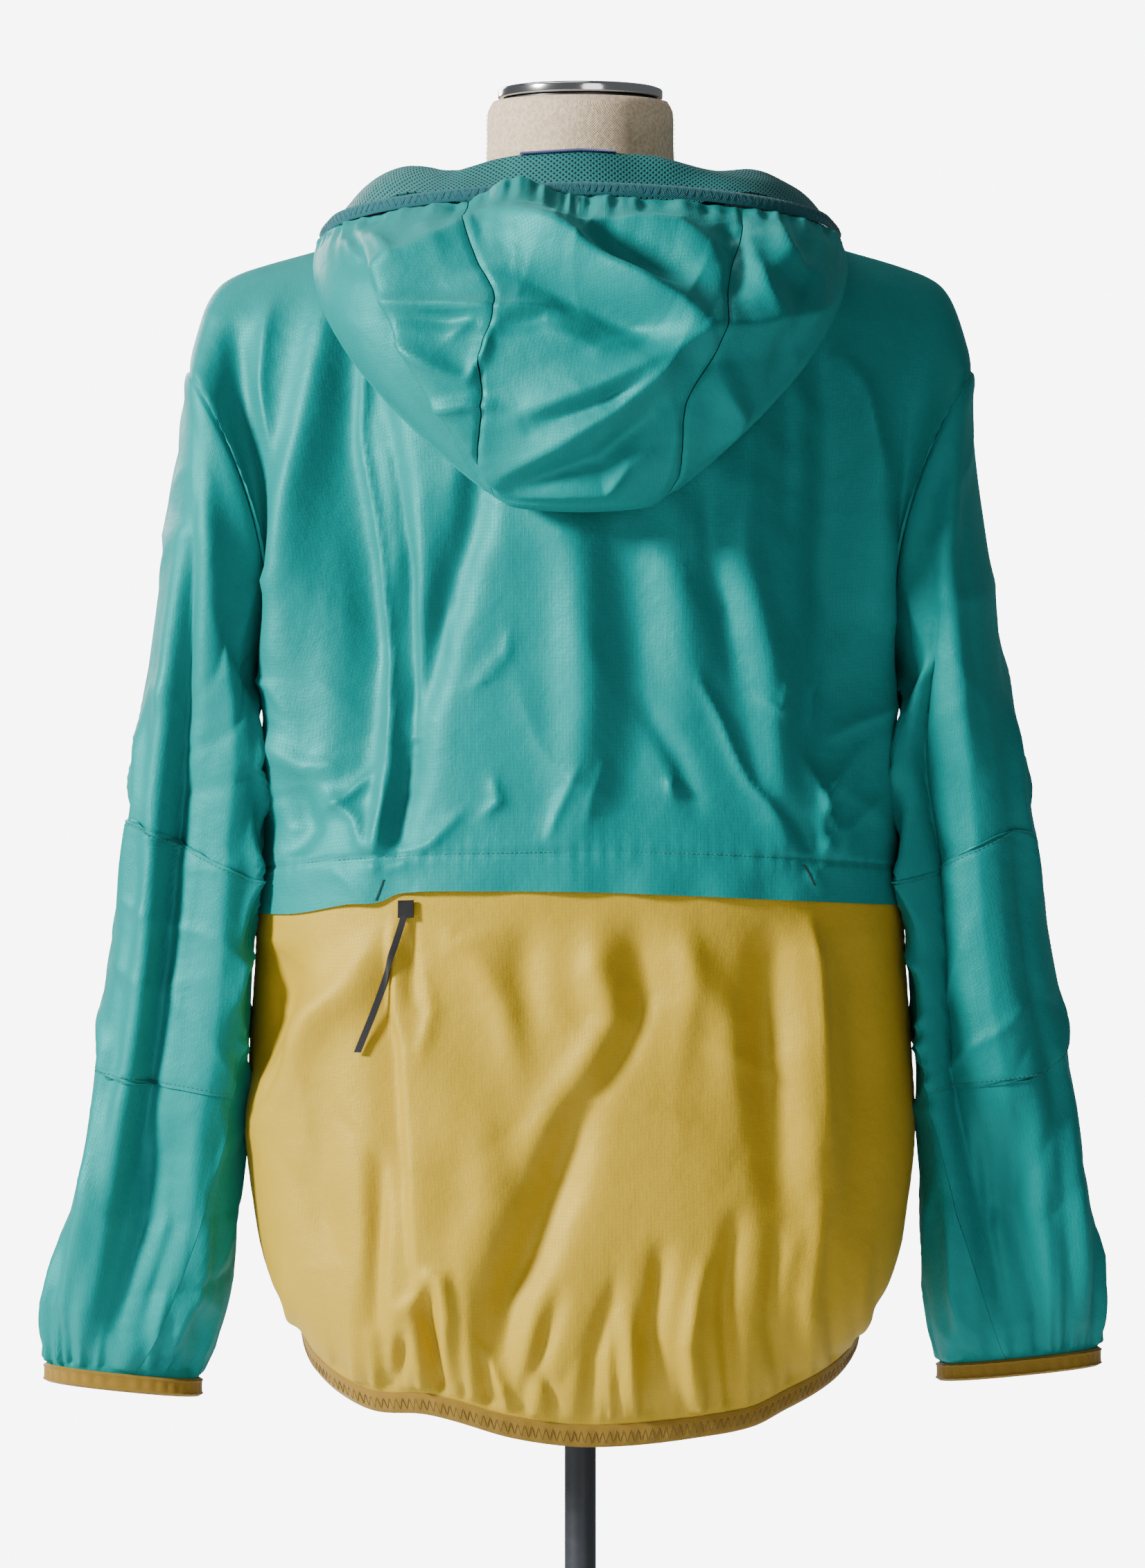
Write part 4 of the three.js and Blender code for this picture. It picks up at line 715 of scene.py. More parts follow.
def shell(name, points, facing, thickness=CLOTH):
    """A thin closed shell under a grid of outer points, rows by columns, with its cloth map in metres."""
    rows, columns = points.shape[:2]
    inner = points - grid_normals(points, facing) * thickness
    count = rows * columns
    ids = np.arange(count).reshape(rows, columns)
    outer_faces = grid_faces(ids)
    inner_faces = outer_faces[:, [0, 3, 2, 1]] + count
    loop = np.concatenate([ids[0, :-1], ids[:-1, -1], ids[-1, :0:-1], ids[:0:-1, 0]])
    after = np.roll(loop, -1)
    rim = np.stack([after, loop, loop + count, after + count], 1)
    faces = np.concatenate([outer_faces, inner_faces, rim])
    if facing < 0:
        faces = faces[:, ::-1]
    across = length_along(points, 1)
    across -= across[:, columns // 2][:, None]
    uv = np.stack([across, length_along(points)], -1).reshape(-1, 2)
    both = np.concatenate([points.reshape(-1, 3), inner.reshape(-1, 3)])
    piece = new_object(name, both, faces, uv=np.concatenate([uv, uv]))
    mesh = piece.data
    on_rim = np.zeros(2 * count, bool)
    on_rim[loop], on_rim[loop + count] = True, True
    ends = np.empty(len(mesh.edges) * 2, np.int32)
    mesh.edges.foreach_get("vertices", ends)
    ends = ends.reshape(-1, 2)
    sharp = on_rim[ends].all(1) & ((ends < count).all(1) | (ends >= count).all(1))
    mesh.attributes.new("sharp_edge", "BOOLEAN", "EDGE").data.foreach_set("value", sharp)
    return piece


def steps(start, end, count):
    return np.linspace(start, end, count + 1)


def dress(piece, material, slot, nodes=()):
    """Gives a piece its finish and body, and hides the solids that it stands for."""
    piece.data.materials.append(material)
    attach(piece, ROOT)
    if nodes:
        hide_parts(*nodes)


# Materials
def new_material(name, colour, roughness, metallic=0.0, sheen=0.0, specular=0.5):
    material = bpy.data.materials.new(name)
    material.use_nodes = True
    shader = material.node_tree.nodes["Principled BSDF"]
    shader.inputs["Base Color"].default_value = (*colour, 1)
    shader.inputs["Roughness"].default_value = roughness
    shader.inputs["Metallic"].default_value = metallic
    shader.inputs["Specular IOR Level"].default_value = specular
    shader.inputs["Sheen Weight"].default_value = sheen
    shader.inputs["Sheen Roughness"].default_value = 0.35
    return material, shader


class Graph:
    """Short names for the nodes that the materials use."""

    def __init__(self, material):
        self.tree = material.node_tree

    def node(self, kind, **values):
        made = self.tree.nodes.new(kind)
        for name, value in values.items():
            setattr(made, name, value)
        return made

    def join(self, source, target):
        self.tree.links.new(source, target)

    def math(self, operation, a, b=0.0):
        made = self.node("ShaderNodeMath", operation=operation)
        for socket, value in zip(made.inputs, (a, b)):
            if isinstance(value, (int, float)):
                socket.default_value = value
            else:
                self.join(value, socket)
        return made.outputs[0]

    def cloth_map(self):
        source = self.node("ShaderNodeUVMap", uv_map="cloth")
        split = self.node("ShaderNodeSeparateXYZ")
        self.join(source.outputs[0], split.inputs[0])
        return split.outputs[0], split.outputs[1]

    def place(self):
        return self.node("ShaderNodeTexCoord").outputs["Object"]

    def wave(self, coordinate, rate):
        return self.math("SINE", self.math("MULTIPLY", coordinate, rate))

    def weave(self, u, v, rate):
        """Waves across each other, the same number both ways."""
        return self.math("MULTIPLY", self.wave(u, rate), self.wave(v, rate))

    def noise(self, scale, detail, roughness=0.5):
        made = self.node("ShaderNodeTexNoise")
        made.inputs["Scale"].default_value = scale
        made.inputs["Detail"].default_value = detail
        made.inputs["Roughness"].default_value = roughness
        self.join(self.place(), made.inputs["Vector"])
        return made.outputs["Fac"]

    def span(self, value, low, high, to_low, to_high):
        made = self.node("ShaderNodeMapRange", clamp=True)
        for socket, number in zip(made.inputs[1:5], (low, high, to_low, to_high)):
            socket.default_value = number
        self.join(value, made.inputs[0])
        return made.outputs[0]

    def blend(self, share, first, second):
        made = self.node("ShaderNodeMix", data_type="RGBA")
        for socket, value in zip((made.inputs[0], made.inputs[6], made.inputs[7]), (share, first, second)):
            if isinstance(value, (int, float)):
                socket.default_value = value
            elif isinstance(value, tuple):
                socket.default_value = (*value, 1)
            else:
                self.join(value, socket)
        return made.outputs[2]

    def bump(self, height, distance, strength, under=None):
        made = self.node("ShaderNodeBump")
        made.inputs["Distance"].default_value = distance
        made.inputs["Strength"].default_value = strength
        self.join(height, made.inputs["Height"])
        if under is not None:
            self.join(under, made.inputs["Normal"])
        return made.outputs[0]


def line(graph, coordinate):
    """1 along the thin lines of the cloth's grid, 0 between them."""
    away = graph.math("PINGPONG", coordinate, GRID_PITCH / 2)
    return graph.span(away, 0, GRID_LINE, 1, 0)


def scaled(colour, factor):
    return tuple(min(1.0, c * factor) for c in colour)


def shell_cloth(name, colour, deep, glow):
    """Light nylon with a fine grid, a satin sheen and small wrinkles."""
    roughness = 0.54
    material, shader = new_material(name, colour, roughness, sheen=0.1, specular=0.8)
    shader.inputs["Specular Tint"].default_value = (*glow, 1)
    shader.inputs["Sheen Tint"].default_value = (*glow, 1)
    graph = Graph(material)
    u, v = graph.cloth_map()
    grid = graph.math("MAXIMUM", line(graph, u), line(graph, v))
    threads = graph.weave(u, v, 5200)
    cloudy = graph.noise(9, 3)
    faint = graph.blend(graph.span(cloudy, 0.35, 0.68, 0, 1), scaled(colour, 0.93), scaled(colour, 1.06))
    lined = graph.blend(graph.math("MULTIPLY", grid, 0.3), faint, deep)
    graph.join(lined, shader.inputs["Base Color"])
    worn = graph.span(graph.noise(26, 2), 0.3, 0.7, roughness - 0.05, roughness + 0.06)
    graph.join(worn, shader.inputs["Roughness"])
    wrinkled = graph.bump(graph.noise(70, 5, roughness=0.6), 0.0016, 0.55)
    gridded = graph.bump(grid, 0.0001, 0.5, wrinkled)
    graph.join(graph.bump(threads, 0.00004, 0.4, gridded), shader.inputs["Normal"])
    return material


def elastic(name, colour, deep):
    """Folded elastic tape with fine ribs along its length."""
    material, shader = new_material(name, colour, 0.72, sheen=0.3, specular=0.3)
    graph = Graph(material)
    u, v = graph.cloth_map()
    ribs = graph.wave(v, 6200)
    weave = graph.math("MULTIPLY", graph.wave(u, 4100), ribs)
    tone = graph.span(weave, -1, 1, 0, 0.6)
    graph.join(graph.blend(tone, colour, deep), shader.inputs["Base Color"])
    graph.join(graph.bump(weave, 0.00025, 0.6), shader.inputs["Normal"])
    return material


def mesh_lining(name, colour, hole_shade):
    """Knitted mesh: staggered holes between round threads, with painted shade in the holes."""
    material, shader = new_material(name, colour, 0.6, sheen=0.05, specular=0.3)
    graph = Graph(material)
    u, v = graph.cloth_map()
    pitch = 0.0019
    size = graph.math("MAXIMUM", graph.weave(u, v, PI / pitch), 0.0)
    # Painted shade: the holes are coloured near black for the shade seen through them.
    painted_shade = graph.span(size, 0.3, 0.6, 0, 1)
    cloudy = graph.span(graph.noise(30, 2), 0.3, 0.7, 0.0, 0.25)
    tinted = graph.blend(cloudy, colour, scaled(colour, 1.6))
    graph.join(graph.blend(painted_shade, tinted, hole_shade), shader.inputs["Base Color"])
    graph.join(graph.bump(graph.math("MULTIPLY", size, -1.0), 0.0007, 0.9), shader.inputs["Normal"])
    return material


def linen_cloth(name, colour, deep, painted_highlight):
    """Coarse plain weave with uneven threads, with painted shade in its hollows and a painted highlight on
    its thread tops.
    """
    material, shader = new_material(name, colour, 0.95, sheen=0.15, specular=0.15)
    graph = Graph(material)
    u, v = graph.cloth_map()
    pitch = 0.0016
    weave = graph.weave(u, v, 2 * PI / pitch)
    slub = graph.noise(420, 2)
    tone = graph.math("ADD", graph.span(weave, -1, 1, 0, 0.75), graph.span(slub, 0.35, 0.7, -0.25, 0.35))
    base = graph.blend(graph.span(graph.noise(14, 3), 0.35, 0.65, 0, 1), colour, scaled(colour, 0.9))
    # Painted shade and painted highlight: the colour darkens where the weave's height is low and lightens
    # where it is high, the same height as the bump.
    painted_shade = graph.blend(graph.span(tone, 0.0, 0.5, 0.75, 0), base, deep)
    graph.join(graph.blend(graph.span(tone, 0.6, 1.0, 0, 0.6), painted_shade, painted_highlight), shader.inputs["Base Color"])
    graph.join(graph.bump(tone, 0.0005, 0.8), shader.inputs["Normal"])
    return material


def plain(name, colour, roughness, metallic=0.0, grain=200.0, relief=0.00005, sheen=0.0, varied=0.12):
    """A finish with a little grain, uneven tone and roughness."""
    material, shader = new_material(name, colour, roughness, metallic, sheen)
    graph = Graph(material)
    cloudy = graph.span(graph.noise(grain / 8, 3), 0.3, 0.7, 0, 1)
    tone = graph.blend(cloudy, scaled(colour, 1 - varied), scaled(colour, 1 + varied))
    graph.join(tone, shader.inputs["Base Color"])
    worn = graph.span(graph.noise(grain / 3, 2), 0.3, 0.7, roughness * 0.85, roughness * 1.15)
    graph.join(worn, shader.inputs["Roughness"])
    graph.join(graph.bump(graph.noise(grain, 2), relief, 0.5), shader.inputs["Normal"])
    return material


TEAL = (0.0005, 0.165, 0.158)
GOLD = (0.42, 0.275, 0.016)
OCHRE = (0.26, 0.15, 0.01)
BLUE_TEAL = (0.004, 0.1, 0.12)
teal = shell_cloth("teal_nylon", TEAL, scaled(TEAL, 0.6), (0.12, 0.95, 0.9))
gold = shell_cloth("gold_nylon", GOLD, scaled(GOLD, 0.7), (1.0, 0.8, 0.25))
ochre_elastic = elastic("ochre_elastic", OCHRE, scaled(OCHRE, 0.6))
teal_elastic = elastic("teal_elastic", BLUE_TEAL, scaled(BLUE_TEAL, 0.6))
# The second colour is the painted shade in the mesh's holes.
lining_mesh = mesh_lining("lining_mesh", (0.004, 0.12, 0.12), (0.0005, 0.008, 0.009))
navy = elastic("label_navy", (0.035, 0.045, 0.16), (0.015, 0.02, 0.08))
# The last two colours are the painted shade in the weave's hollows and the painted highlight on its thread
# tops.
linen = linen_cloth("linen", (0.78, 0.62, 0.43), (0.42, 0.29, 0.17), (0.9, 0.8, 0.62))
tape_black = elastic("tape_black", (0.012, 0.012, 0.014), (0.004, 0.004, 0.005))
hard_black = plain("slider_black", (0.015, 0.015, 0.017), 0.35, 0.4)
chrome = plain("cap_steel", (0.62, 0.62, 0.63), 0.14, 1.0, grain=90, relief=0.00002, varied=0.04)
pole_black = plain("stand_black", (0.022, 0.026, 0.032), 0.38, 0.2, grain=420)
teal_thread = plain("teal_thread", scaled(TEAL, 0.75), 0.6, grain=900, sheen=0.2)
dark_thread = plain("dark_thread", scaled(TEAL, 0.3), 0.7, grain=900)
ochre_thread = plain("ochre_thread", scaled(OCHRE, 0.55), 0.65, grain=900, sheen=0.2)
blue_thread = plain("blue_thread", scaled(BLUE_TEAL, 0.55), 0.65, grain=900, sheen=0.2)
linen_thread = plain("linen_thread", (0.22, 0.15, 0.08), 0.9, grain=900)


# Threads
def threads(name, starts, ends, normals, radius, material, slot):
    """Short stitches from starts to ends, arched off the cloth along normals."""
    starts, ends, normals = (np.asarray(a, float).reshape(-1, 3) for a in (starts, ends, normals))
    way = unit(ends - starts)
    aside = unit(np.cross(way, normals))
    # Places along a stitch: share of its length, then height off the cloth and half width, in radii.
    stations = [(0.0, -0.5, 0.5), (0.18, 0.35, 0.9), (0.82, 0.35, 0.9), (1.0, -0.5, 0.5)]
    turns = 2 * PI * np.arange(THREAD_SIDES) / THREAD_SIDES
    rings = []
    for share, height, wide in stations:
        centre = mix(starts, ends, share) + normals * radius * height
        ring = [centre + radius * wide * (math.cos(t) * aside + math.sin(t) * normals) for t in turns]
        rings.append(np.stack(ring, 1))
    vertices = np.stack(rings, 1).reshape(-1, 3)
    per = len(stations) * THREAD_SIDES
    faces = []
    for k in range(len(starts)):
        base = k * per
        for j in range(len(stations) - 1):
            for i in range(THREAD_SIDES):
                ring = base + j * THREAD_SIDES
                a, b = ring + i, ring + (i + 1) % THREAD_SIDES
                faces.append((a, a + THREAD_SIDES, b + THREAD_SIDES, b))
        faces.append(tuple(base + i for i in range(THREAD_SIDES)))
        faces.append(tuple(base + per - 1 - i for i in range(THREAD_SIDES)))
    dress(new_object(name, vertices, faces), material, slot)


def path_on(cloth, us, vs, height):
    """Points and normals along a path on a cloth, with the length so far."""
    points = cloth.at(us, vs, height)
    return points, cloth.normal(us, vs), length_along(points)


def along_path(points, normals, length, places):
    spots = np.stack([np.interp(places, length, points[:, k]) for k in range(3)], 1)
    out = unit(np.stack([np.interp(places, length, normals[:, k]) for k in range(3)], 1))
    return spots, out


def straight_stitches(name, paths, material, slot, radius=0.28, share=0.72):
    starts, ends, outs = [], [], []
    for points, normals, length in paths:
        places = np.arange(0.5, length[-1] - STITCH_LENGTH, STITCH_LENGTH)
        a, n = along_path(points, normals, length, places)
        b, _ = along_path(points, normals, length, places + STITCH_LENGTH * share)
        starts.append(a)
        ends.append(b)
        outs.append(n)
    threads(name, *map(np.concatenate, (starts, ends, outs)), radius, material, slot)


def zigzag_stitches(name, paths, material, slot, radius=0.3):
    """paths holds pairs: the lower and the upper edge of the zigzag."""
    starts, ends, outs = [], [], []
    for low, high in paths:
        count = int(low[2][-1] / ZIGZAG_PITCH)
        shares = np.linspace(0.002, 0.998, 2 * count + 1)
        lower, n = along_path(*low, shares * low[2][-1])
        upper, _ = along_path(*high, shares * high[2][-1])
        zig = np.where((np.arange(len(shares)) % 2 == 0)[:, None], lower, upper)
        starts.append(zig[:-1])
        ends.append(zig[1:])
        outs.append(n[:-1])
    threads(name, *map(np.concatenate, (starts, ends, outs)), radius, material, slot)


# Body of the jacket
def hem_shift(u, level, base):
    """The hem wanders up and down a little, less and less above it."""
    by = read(HEM_WANDER, base[..., 0], "by") * np.exp(-np.maximum(level - HEM_TOP, 0) / 60)
    return point(0 * by, 0 * by, by)


def gathers(along, height, seed, reach=46.0):
    """Uneven gathers above an elastic edge: along and height in millimetres."""
    sway = noise(along / 31, height * 0 + seed, seed) * 2.2 + height / 190
    fine = np.sin(2 * PI * (along / 7.6 + sway)) * np.exp(-height / 9.0) * 1.1
    middle = np.sin(2 * PI * (along / 17 + 1.3 * sway)) * np.exp(-height / 26.0) * 2.0
    broad = np.sin(2 * PI * (along / 39 + 0.7 * sway)) * np.exp(-((height / reach) ** 2)) * 1.7
    strength = 0.5 + noise(along / 53, along * 0, seed + 3)
    return (fine + middle + broad) * strength * (0.25 + 0.75 * ramp(height, 0, 5))


def side_fade(u, width=0.14):
    return clamp((0.985 - np.abs(u)) / width, 0, 1)


def upper_back_relief(u, level, base):
    x, z = base[..., 0], base[..., 2]
    stand = mix(3.4, CLOTH + 1.0, clamp((np.abs(u) - 0.7) / 0.3, 0, 1))
    flap = stand * clamp((FLAP_SEAM_LEVEL + 26 - level) / 24, 0, 1)
    calm = side_fade(u) * clamp((TOP_LEVEL - level) / 30, 0, 1)
    on_seam = np.exp(-(((level - FLAP_SEAM_LEVEL) / 5) ** 2))
    below = ramp(FLAP_SEAM_LEVEL - level, 2, 20)
    folds = creases(UPPER_BACK_CREASES, x, z) * 1.35 * calm * (1 - 0.75 * on_seam) * mix(1, 0.35, below)
    rough = crumple(x, z, 5, 50) * 2.6 * calm * ramp(level, FLAP_SEAM_LEVEL, FLAP_SEAM_LEVEL + 30)
    stitched = pucker(x, np.abs(level - FLAP_SEAM_LEVEL), 21, 9.0, 12)
    hanging = np.sin(2 * PI * (x / 58 + noise(x / 50, x * 0, 8))) * 1.2 * below
    edge_away = (1 - np.abs(u)) * SIDE_WIDTH
    side = pucker(z, edge_away, 31, 11, 12) * ramp(level, FLAP_SEAM_LEVEL, FLAP_SEAM_LEVEL + 40)
    return flap + folds + rough + stitched + hanging + side


def lower_back_relief(u, level, base):
    x, z = base[..., 0], base[..., 2]
    tucked = clamp((FLAP_EDGE_LEVEL + 2 - level) / 26, 0, 1)
    rough = crumple(x, z, 17, 58, 4) * 2.2 * side_fade(u) * tucked
    folds = creases(LOWER_BACK_CREASES, x, z) * 1.3 * side_fade(u) * tucked
    gathered = gathers(x + 300, level - HEM_TOP, 3) * side_fade(u, 0.06)
    side = pucker(z, (1 - np.abs(u)) * SIDE_WIDTH, 33, 11, 12)
    free = ramp(level, HEM_TOP - 1.5, HEM_TOP + 5)
    return (folds + rough + gathered + side) * free - 0.8 * (1 - free)


def front_relief(side, upper):
    def relief(a, level, base):
        x, z = base[..., 0], base[..., 2]
        calm = side_fade(a) * ramp(a, 0.02, 0.16)
        top = clamp((TOP_LEVEL - level) / 30, 0, 1)
        folds = creases(FRONT_CREASES, x, z) * calm * top
        rough = crumple(x, z, 40 + side, 54) * 2.4 * calm * top
        total = folds + rough + pucker(z, (1 - a) * SIDE_WIDTH, 35, 11, 12)
        along_zip = np.sin(z / 3.1) * 0.25 * np.exp(-a / 0.05)
        seam = pucker(x, np.abs(level - FRONT_SEAM_LEVEL), 45 + side, 9.0, 12)
        if not upper:
            total = total + gathers(x + 300, level - HEM_TOP, 6 + side) * calm
        return total + along_zip + seam

    return relief


def flap_level(u):
    """Level at which the upper back's free edge has the height that it hangs at."""
    x = body(u, FLAP_EDGE_LEVEL, -1)[..., 0]
    z = read(FLAP_EDGE, x, "z")
    return z - FLAP_RISE * (1 - np.abs(u) ** 2)


def curved_levels(u, t):
    """Rows of the upper back: t is 0 at the hanging edge and 1 at the shoulder."""
    return mix(flap_level(u), SHOULDER_EDGE, t)


upper_back = Cloth(
    lambda u, t: np.minimum(body(u, curved_levels(u, t), -1), (FAR, -SEAM_GAP / 2, FAR)),
    1,
    (5e-4, 1e-3),
    lambda u, t, base: upper_back_relief(u, curved_levels(u, t), base),
)
lower_back = Cloth(lambda u, level: body(u, level, -1), 1, (5e-4, 0.2), lower_back_relief, hem_shift)


def body_panels():
    wide = steps(-1 + EDGE, 1 - EDGE, 196)
    t = np.concatenate([steps(0, 0.12, 14)[:-1], steps(0.12, 0.72, 68)[:-1], steps(0.72, 1, 52)])
    u, v = np.meshgrid(wide, t)
    piece = shell("back_upper_cloth", upper_back.at(u, v), 1)
    dress(piece, teal, "shell_teal", ["back_upper"])

    levels = np.concatenate([steps(HEM_TOP - 1.5, 800, 27)[:-1], steps(800, FLAP_SEAM_LEVEL - 2, 76)])
    u, v = np.meshgrid(wide, levels)
    piece = shell("back_lower_cloth", lower_back.at(u, v), 1)
    dress(piece, gold, "shell_gold", ["back_lower"])

    shoulder = steps(ARMPIT_LEVEL, SHOULDER_EDGE, 60)
    upper_levels = np.concatenate([steps(FRONT_SEAM_LEVEL + SEAM_GAP, ARMPIT_LEVEL, 38)[:-1], shoulder])
    lower_levels = np.concatenate([steps(HEM_TOP, 800, 22)[:-1], steps(800, FRONT_SEAM_LEVEL, 52)])
    us = steps(0.0005, 1 - EDGE, 76)
    for side, name in SIDES:

        def surface(a, level, side=side):
            return front(side, a, level)

        def before_seam(a, level, side=side):
            return np.maximum(front(side, a, level), (-FAR, SEAM_GAP / 2, -FAR))

        cloth = Cloth(before_seam, -side, (2e-4, 0.02), front_relief(side, True))
        u, v = np.meshgrid(us, upper_levels)
        piece = shell(f"front_upper_cloth_{name}", cloth.at(u, v), -side)
        dress(piece, teal, "shell_teal", [f"front_upper_{name}"])
        cloth = Cloth(surface, -side, (2e-4, 0.2), front_relief(side, False))
        u, v = np.meshgrid(us, lower_levels)
        piece = shell(f"front_lower_cloth_{name}", cloth.at(u, v), -side)
        dress(piece, gold, "shell_gold", [f"front_lower_{name}"])


def hem_surface(a, level):
    behind = body(clamp(a, -1, 1), level, -1)
    behind = behind + hem_shift(a, level, behind)
    before_left = front(-1, clamp(2 - np.abs(a), 0, 1), level)
    before_right = front(1, clamp(2 - np.abs(a), 0, 1), level)
    before = np.where((a < 0)[..., None], before_left, before_right)
    return np.where((np.abs(a) <= 1)[..., None], behind, before)


def rounded(height):
    """The rounded section of a folded elastic binding: height is 0 to 1 across it."""
    return 1.4 * np.sqrt(np.maximum(0, 1 - (2 * height - 1) ** 2)) - 0.2


def hem_relief(a, level, base):
    share = clamp((level - HEM_LEVEL) / HEM_BINDING_HEIGHT, 0, 1)
    return rounded(share) + 0.35 * np.sin(base[..., 0] / 2.1) * np.sin(PI * share)


hem_band = Cloth(hem_surface, 1, (2e-4, 0.2), hem_relief)


def hem_binding():
    u, v = np.meshgrid(steps(-2, 2, 600), HEM_LEVEL + HEM_BINDING_HEIGHT * steps(0, 1, 8))
    piece = shell("hem_elastic", hem_band.at(u, v), 1, 2.8)
    dress(piece, ochre_elastic, "binding_gold", ["hem_binding"])
    us = steps(-1.995, 1.995, 1200)
    low = path_on(hem_band, us, us * 0 + HEM_LEVEL + 2.6, 0.1)
    high = path_on(hem_band, us, us * 0 + HEM_LEVEL + 9.4, 0.1)
    zigzag_stitches("hem_stitches", [(low, high)], ochre_thread, "binding_gold")


# Sleeves
def sleeve_relief(side):
    def relief(angle, ring, base):
        turned = np.mod(angle + 180, 360) - 180
        x, z = turned * DEGREE, base[..., 2]
        wide = angle * DEGREE
        rows = [([(a * DEGREE, h) for a, h in path], *rest) for path, *rest in SLEEVE_CREASES]
        length = (LAST_RING - ring) * RING_STEP
        calm = ramp(ring, 0.05, 1.0)
        fold_depth = np.interp(ring, [0, 1, 1.8, 3, 4, 5, 6, 7, 8, 10], [0, 1, 8, 17, 20, 20, 16, 12, 6, 0])
        # The hanging fold: one flat flank sinks to a sharp line and the other rises steeply from it.
        away = (turned - FOLD_ANGLES[side] - 4 * np.sin(z / 70)) * -side
        flat_flank = clamp(1 - away / 30, 0, 1) ** 1.15
        steep_flank = np.exp(-((away / 6) ** 2))
        fold = -fold_depth * np.where(away > 0, flat_flank, steep_flank)
        lobe = fold_depth * 0.2 * np.exp(-(((away + 16) / 9) ** 2))
        folds = creases(rows, np.where(turned < -150, turned + 360, turned) * DEGREE, z) * 1.4
        elbow_side = ramp(turned, 100, 135) * (1 - ramp(turned, 150, 178))
        rough = crumple(x, z, 61 + side, 44, 6) * (2.6 + 2.2 * elbow_side)
        cuff = gathers(wide + 500, np.maximum(length, 0), 71 + side, 44) * 0.9
        # Each sleeve is set in the armhole with a seam and shows a little roll beside it.
        armhole = -1.8 * (1 - ramp(ring, 0.0, 0.07)) + 1.2 * np.exp(-(((ring - 0.2) / 0.16) ** 2))
        # The inner side leans against the body.
        inwards = np.exp(-(((np.mod(angle, 360) - 182) / 34) ** 2))
        leaning = 4.5 * inwards * ramp(ring, 1.6, 2.6) * (1 - ramp(ring, 6.2, 7.2))
        free = ramp(LAST_RING - ring, 0.02, 0.3)
        return (fold + lobe + (folds + rough) * calm + leaning + cuff) * free - 1.1 * (1 - free) + armhole

    return relief


def sleeve_cloth(side):
    def tucked(angle, ring, base):
        """The sleeve's end goes down inside its binding."""
        return point(0 * ring, 0 * ring, -3.5 * ramp(ring, LAST_RING - 0.1, LAST_RING))

    def surface(angle, ring):
        return sleeve(side, angle, ring)

    return Cloth(surface, side, (0.25, 5e-3), sleeve_relief(side), tucked)


def seam_at(ring, key):
    return read(UNDER_SEAM, ring, key)


def sleeves():
    rings = np.concatenate([steps(-0.035, 1, 23)[:-1], steps(1, 8, 104)[:-1], steps(8, LAST_RING, 30)])
    gap = 0.12
    for side, name in SIDES:
        cloth = sleeve_cloth(side)
        for part, columns, first, turn_back, last, flat, area in (
            ("upper", 132, "before", 360, "behind", (0.46, 0.6), 0.17),
            ("under", 34, "behind", 0, "before", (0.17, 0.5), 0.056),
        ):
            t, v = np.meshgrid(steps(0, 1, columns), rings)
            start, end = seam_at(v, first) - turn_back + gap, seam_at(v, last) - gap
            piece = shell(f"sleeve_{part}_cloth_{name}", cloth.at(mix(start, end, t), v), side)
            dress(piece, teal, "shell_teal", [f"sleeve_{part}_{name}"])
        elbow_patch(side, name, cloth)
        cuff(side, name)


def elbow_patch(side, name, cloth):
    """The patch lies on the sleeve, with its two outer corners rounded, and is stitched along three of its
    sides.
    """
    first, last = 4.12, 6.1
    outer = -4 if side < 0 else 22

    def place(across, up):
        ring = mix(first, last, up)
        corner = 0.3
        near = np.maximum(np.abs(up - 0.5) - (0.5 - corner), 0) / corner
        start = outer + 50 * (1 - np.sqrt(np.maximum(0, 1 - near**2)))
        return mix(start, seam_at(ring, "behind") - 2.6, across), ring

    s, t = np.meshgrid(steps(0, 1, 62), steps(0, 1, 62))
    angle, ring = place(s, t)
    edge = np.minimum(np.minimum(s, 1 - s) * 140, np.minimum(t, 1 - t) * 180)
    lift = 1.75 + 0.35 * np.tanh(edge / 3) - 0.55 * np.exp(-(((edge - 2.4) / 1.2) ** 2))
    piece = shell(f"elbow_patch_cloth_{name}", cloth.at(angle, ring, lift), side, 0.8)
    dress(piece, teal, "shell_teal", [f"elbow_patch_{name}"])
    low, high = 0.018, 1 - 0.018
    paths = []
    for start, end in (((low, low), (high, low)), ((low, high), (high, high)), ((low, low), (low, high))):
        across, up = steps(start[0], end[0], 160), steps(start[1], end[1], 160)
        angle, ring = place(across, up)
        paths.append(path_on(cloth, angle, ring, 1.65))
    straight_stitches(f"patch_stitches_{name}", paths, teal_thread, "shell_teal")


def cuff(side, name):
    def surface(angle, drop):
        placed = sleeve(side, angle, LAST_RING + 0 * angle)
        return placed - point(0 * angle, 0 * angle, drop * CUFF_BINDING_HEIGHT - 0.5)

    def relief(angle, drop, base):
        return rounded(drop) + 0.3 * np.sin(angle * 0.62) * np.sin(PI * clamp(drop, 0, 1))

    band = Cloth(surface, -side, (0.3, 1e-2), relief)
    angle, drop = np.meshgrid(steps(0, 359.9, 220), steps(0, 1, 8))
    piece = shell(f"cuff_elastic_{name}", band.at(angle, drop), -side, 2.8)
    node, under = [f"cuff_binding_{name}"], [f"sleeve_upper_{name}"]
    dress(piece, ochre_elastic, "binding_gold", node)
    turn = steps(2, 358, 600)
    low = path_on(band, turn, turn * 0 + 0.78, 0.1)
    high = path_on(band, turn, turn * 0 + 0.22, 0.1)
    zigzag_stitches(f"cuff_stitches_{name}", [(low, high)], ochre_thread, "binding_gold")


